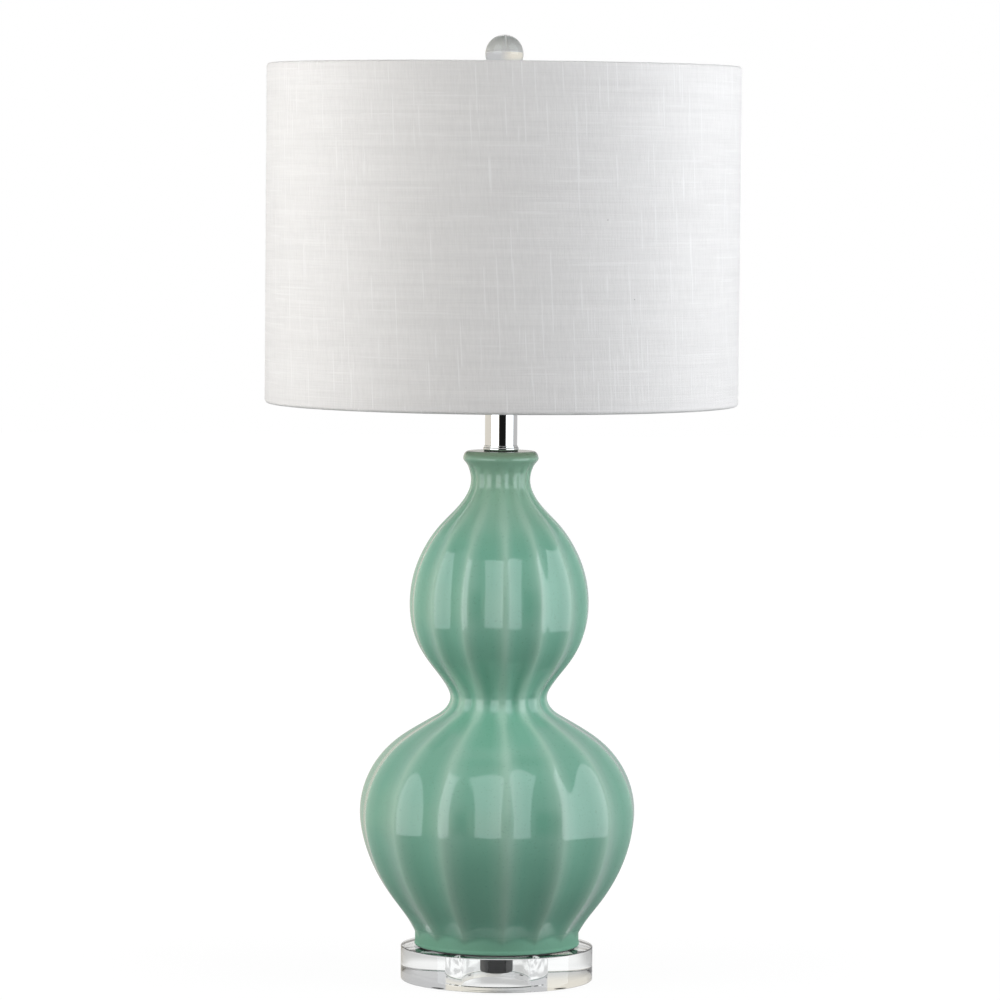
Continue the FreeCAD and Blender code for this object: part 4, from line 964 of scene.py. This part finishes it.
class LAMP_OT_stage(bpy.types.Operator):
    """Set the floor, the white surroundings, the lights and the camera"""
    bl_idname = "gourd_lamp.stage"
    bl_label = "Stage"

    def execute(self, context):
        sizes = context.scene.lamp_stage
        self.floor()
        self.surroundings(sizes)
        self.lights(sizes)
        self.camera(context, sizes)
        context.scene.view_settings.view_transform = "Standard"
        return {"FINISHED"}

    def floor(self):
        """Pale paper that keeps the lamp's shadow and glows white for the eye and through glass,
        with painted shade in grey blotches that only show through glass.
        """
        half = 8.0
        corners = [(-half, -half, 0), (half, -half, 0), (half, half, 0), (-half, half, 0)]
        mesh = bpy.data.meshes.new("floor")
        mesh.from_pydata(corners, [], [(0, 1, 2, 3)])
        ground = place("floor", mesh)
        made = Finish("pale_floor")
        light = made.node("ShaderNodeLightPath")
        point = made.object_point()
        paper = made.ramp(made.noise(point, 3.0, 2.0), [(0.3, 0.97), (0.7, 1.0)])
        made.set(Base_Color=made.dim((0.28, 0.28, 0.28), paper), Roughness=0.9)
        through = light.outputs["Is Transmission Ray"]
        away = made.node("ShaderNodeVectorMath", point, operation="LENGTH").outputs["Value"]
        # Painted shade: grey blotches in the floor's glow, seen only through the clear disc.
        painted_shade_blotch = made.between(made.noise(point, 17.0, 1.0, 0.4), 0.40, 0.58, 0.42, 0.05)
        strength = made.math("MULTIPLY", made.between(away, 0.15, 0.90, 1.165, 1.225),
                             made.math("SUBTRACT", 1.0, made.math("MULTIPLY", through, painted_shade_blotch)))
        glow = made.node("ShaderNodeEmission", (1, 1, 1, 1), strength)
        seen = made.math("MAXIMUM", light.outputs["Is Camera Ray"], through)
        share = made.math("MULTIPLY", seen, 0.82)
        blend = made.node("ShaderNodeMixShader", share, made.shader.outputs[0], glow.outputs[0])
        made.links.new(blend.outputs[0], made.nodes["Material Output"].inputs[0])
        ground.data.materials.append(made.material)
        ground.visible_glossy = False

    def surroundings(self, sizes):
        """White to the eye and through glass; cream, grey and one dark gap in reflections."""
        world = bpy.data.worlds.new("white_room")
        bpy.context.scene.world = world
        world.use_nodes = True
        room = Wiring(world.node_tree)
        light = room.node("ShaderNodeLightPath")
        way = room.node("ShaderNodeTexCoord").outputs["Generated"]
        x, y, z = room.node("ShaderNodeSeparateXYZ", way).outputs
        azimuth = room.math("ARCTAN2", x, room.math("MULTIPLY", y, -1.0))
        gap = room.math("ABSOLUTE", room.math("SUBTRACT", azimuth, GAP_MIDDLE))
        off_level = room.between(room.math("ABSOLUTE", z), 0.12, 0.35)
        cream = room.mix(off_level, (0.78, 0.74, 0.66), (0.58, 0.58, 0.57))
        wall = room.mix(room.between(x, -0.25, 0.25), cream, (0.56, 0.56, 0.57))
        beside = room.between(gap, GAP_HALF - 0.03, GAP_HALF + 0.03)
        wall = room.mix(room.math("MAXIMUM", beside, off_level), (0.01, 0.01, 0.01), wall)
        low = room.between(z, -0.75, -0.15, 0.30, 1.0)
        wall = room.dim(wall, room.node("ShaderNodeCombineXYZ", low, low, low).outputs[0])
        fill = (sizes.fill, sizes.fill, sizes.fill)
        shown = room.mix(light.outputs["Is Camera Ray"], fill, (1.0, 1.0, 1.0))
        shown = room.mix(light.outputs["Is Transmission Ray"], shown, (0.86, 0.865, 0.875))
        shown = room.mix(light.outputs["Is Glossy Ray"], shown, wall)
        room.links.new(shown, room.nodes["Background"].inputs["Color"])

    def lights(self, sizes):
        """Two tall lamps that only show as reflections, and five that only light."""
        body = [bpy.data.objects["fluted_body"]]
        shade = [bpy.data.objects[name] for name in ("drum_cloth", "cloth_lap", "shade_lining")]
        for name, azimuth, spread, low, high, brightness, tint, shiny in (
                ("left_window", -48.5, 55.0, -0.36, 2.60, sizes.window, PALE, True),
                ("right_window", 63.5, 57.0, -0.36, 2.60, sizes.window, PALE, True),
                ("left_front", -62.0, 44.0, 0.12, 1.75, sizes.front * 0.94, WARM, False),
                ("right_front", 62.0, 44.0, 0.12, 1.75, sizes.front * 1.12, COOL, False),
                ("left_side", -80.0, 60.0, 0.40, 2.20, sizes.side * 1.15, WARM, False),
                ("right_side", 80.0, 60.0, 0.40, 2.20, sizes.side * 0.85, COOL, False),
                ("back", 180.0, 70.0, 0.30, 2.00, sizes.side * 0.75, COOL, False)):
            lamp = bpy.data.lights.new(name, "AREA")
            lamp.shape = "RECTANGLE"
            lamp.size = 2 * LAMP_DISTANCE * math.tan(math.radians(spread / 2))
            lamp.size_y = high - low
            lamp.energy = brightness * math.pi * lamp.size * lamp.size_y
            lamp.color = tint
            middle = (low + high) / 2
            spot = round_the_lamp(azimuth, LAMP_DISTANCE, middle)
            holders = [bpy.data.objects.new(name, lamp)]
            if name.endswith("front"):
                # The body has its own pair, which the shade doesn't dim.
                holders.append(bpy.data.objects.new(name + "_on_body", lamp))
                rest, own = (holder.light_linking for holder in holders)
                rest.receiver_collection = group_of(name + "_rest", body, "EXCLUDE")
                own.receiver_collection = group_of(name + "_body", body, "INCLUDE")
                own.blocker_collection = group_of(name + "_shade", shade, "EXCLUDE")
            inwards = Vector((0, 0, middle)) - spot
            for holder in holders:
                bpy.context.scene.collection.objects.link(holder)
                holder.location = spot
                holder.rotation_euler = inwards.to_track_quat("-Z", "Y").to_euler()
                holder.visible_camera = False
                holder.visible_glossy = shiny
                holder.visible_diffuse = not shiny
                holder.visible_transmission = False

    def camera(self, context, sizes):
        lens = bpy.data.cameras.new("camera")
        lens.lens = sizes.lens
        lens.clip_end = 60.0
        camera = bpy.data.objects.new("camera", lens)
        context.scene.collection.objects.link(camera)
        across = Matrix.Rotation(-sizes.camera_turn, 4, "Z")
        stand = Matrix.Translation((sizes.camera_aside, -sizes.camera_distance,
                                    sizes.camera_height))
        tilt = Matrix.Rotation(math.pi / 2 - sizes.camera_pitch, 4, "X")
        roll = Matrix.Rotation(sizes.camera_roll, 4, "Z")
        camera.matrix_world = across @ stand @ tilt @ roll
        context.scene.camera = camera


# ---------- panel and registration

class LAMP_PT_panel(bpy.types.Panel):
    """Lists the lamp's pieces"""
    bl_label = "Gourd Lamp"
    bl_idname = "LAMP_PT_panel"
    bl_space_type = "VIEW_3D"
    bl_region_type = "UI"
    bl_category = "Gourd Lamp"

    def draw(self, context):
        for operator in OPERATORS:
            self.layout.operator(operator.bl_idname)
        for group, kind in GROUPS.items():
            box = self.layout.box()
            for name in kind.__annotations__:
                box.prop(getattr(context.scene, group), name)


OPERATORS = (LAMP_OT_ceramic_body, LAMP_OT_clear_base, LAMP_OT_neck, LAMP_OT_shade_cloth,
             LAMP_OT_shade_frame, LAMP_OT_harp_and_socket, LAMP_OT_bulb, LAMP_OT_finial,
             LAMP_OT_stage)
GROUPS = {"lamp_ceramic": CeramicSizes, "lamp_shade": ShadeSizes, "lamp_stage": StageSizes}
CLASSES = (*GROUPS.values(), *OPERATORS, LAMP_PT_panel)


def register():
    for item in CLASSES:
        bpy.utils.register_class(item)
    for name, group in GROUPS.items():
        setattr(bpy.types.Scene, name, PointerProperty(type=group))


def unregister():
    for name in GROUPS:
        delattr(bpy.types.Scene, name)
    for item in reversed(CLASSES):
        bpy.utils.unregister_class(item)


def main():
    register()
    bpy.ops.gourd_lamp.ceramic_body()
    bpy.ops.gourd_lamp.clear_base()
    bpy.ops.gourd_lamp.neck()
    bpy.ops.gourd_lamp.shade_cloth()
    bpy.ops.gourd_lamp.shade_frame()
    bpy.ops.gourd_lamp.harp_and_socket()
    bpy.ops.gourd_lamp.bulb()
    bpy.ops.gourd_lamp.finial()
    bpy.ops.gourd_lamp.stage()


if __name__ == "__main__":
    main()
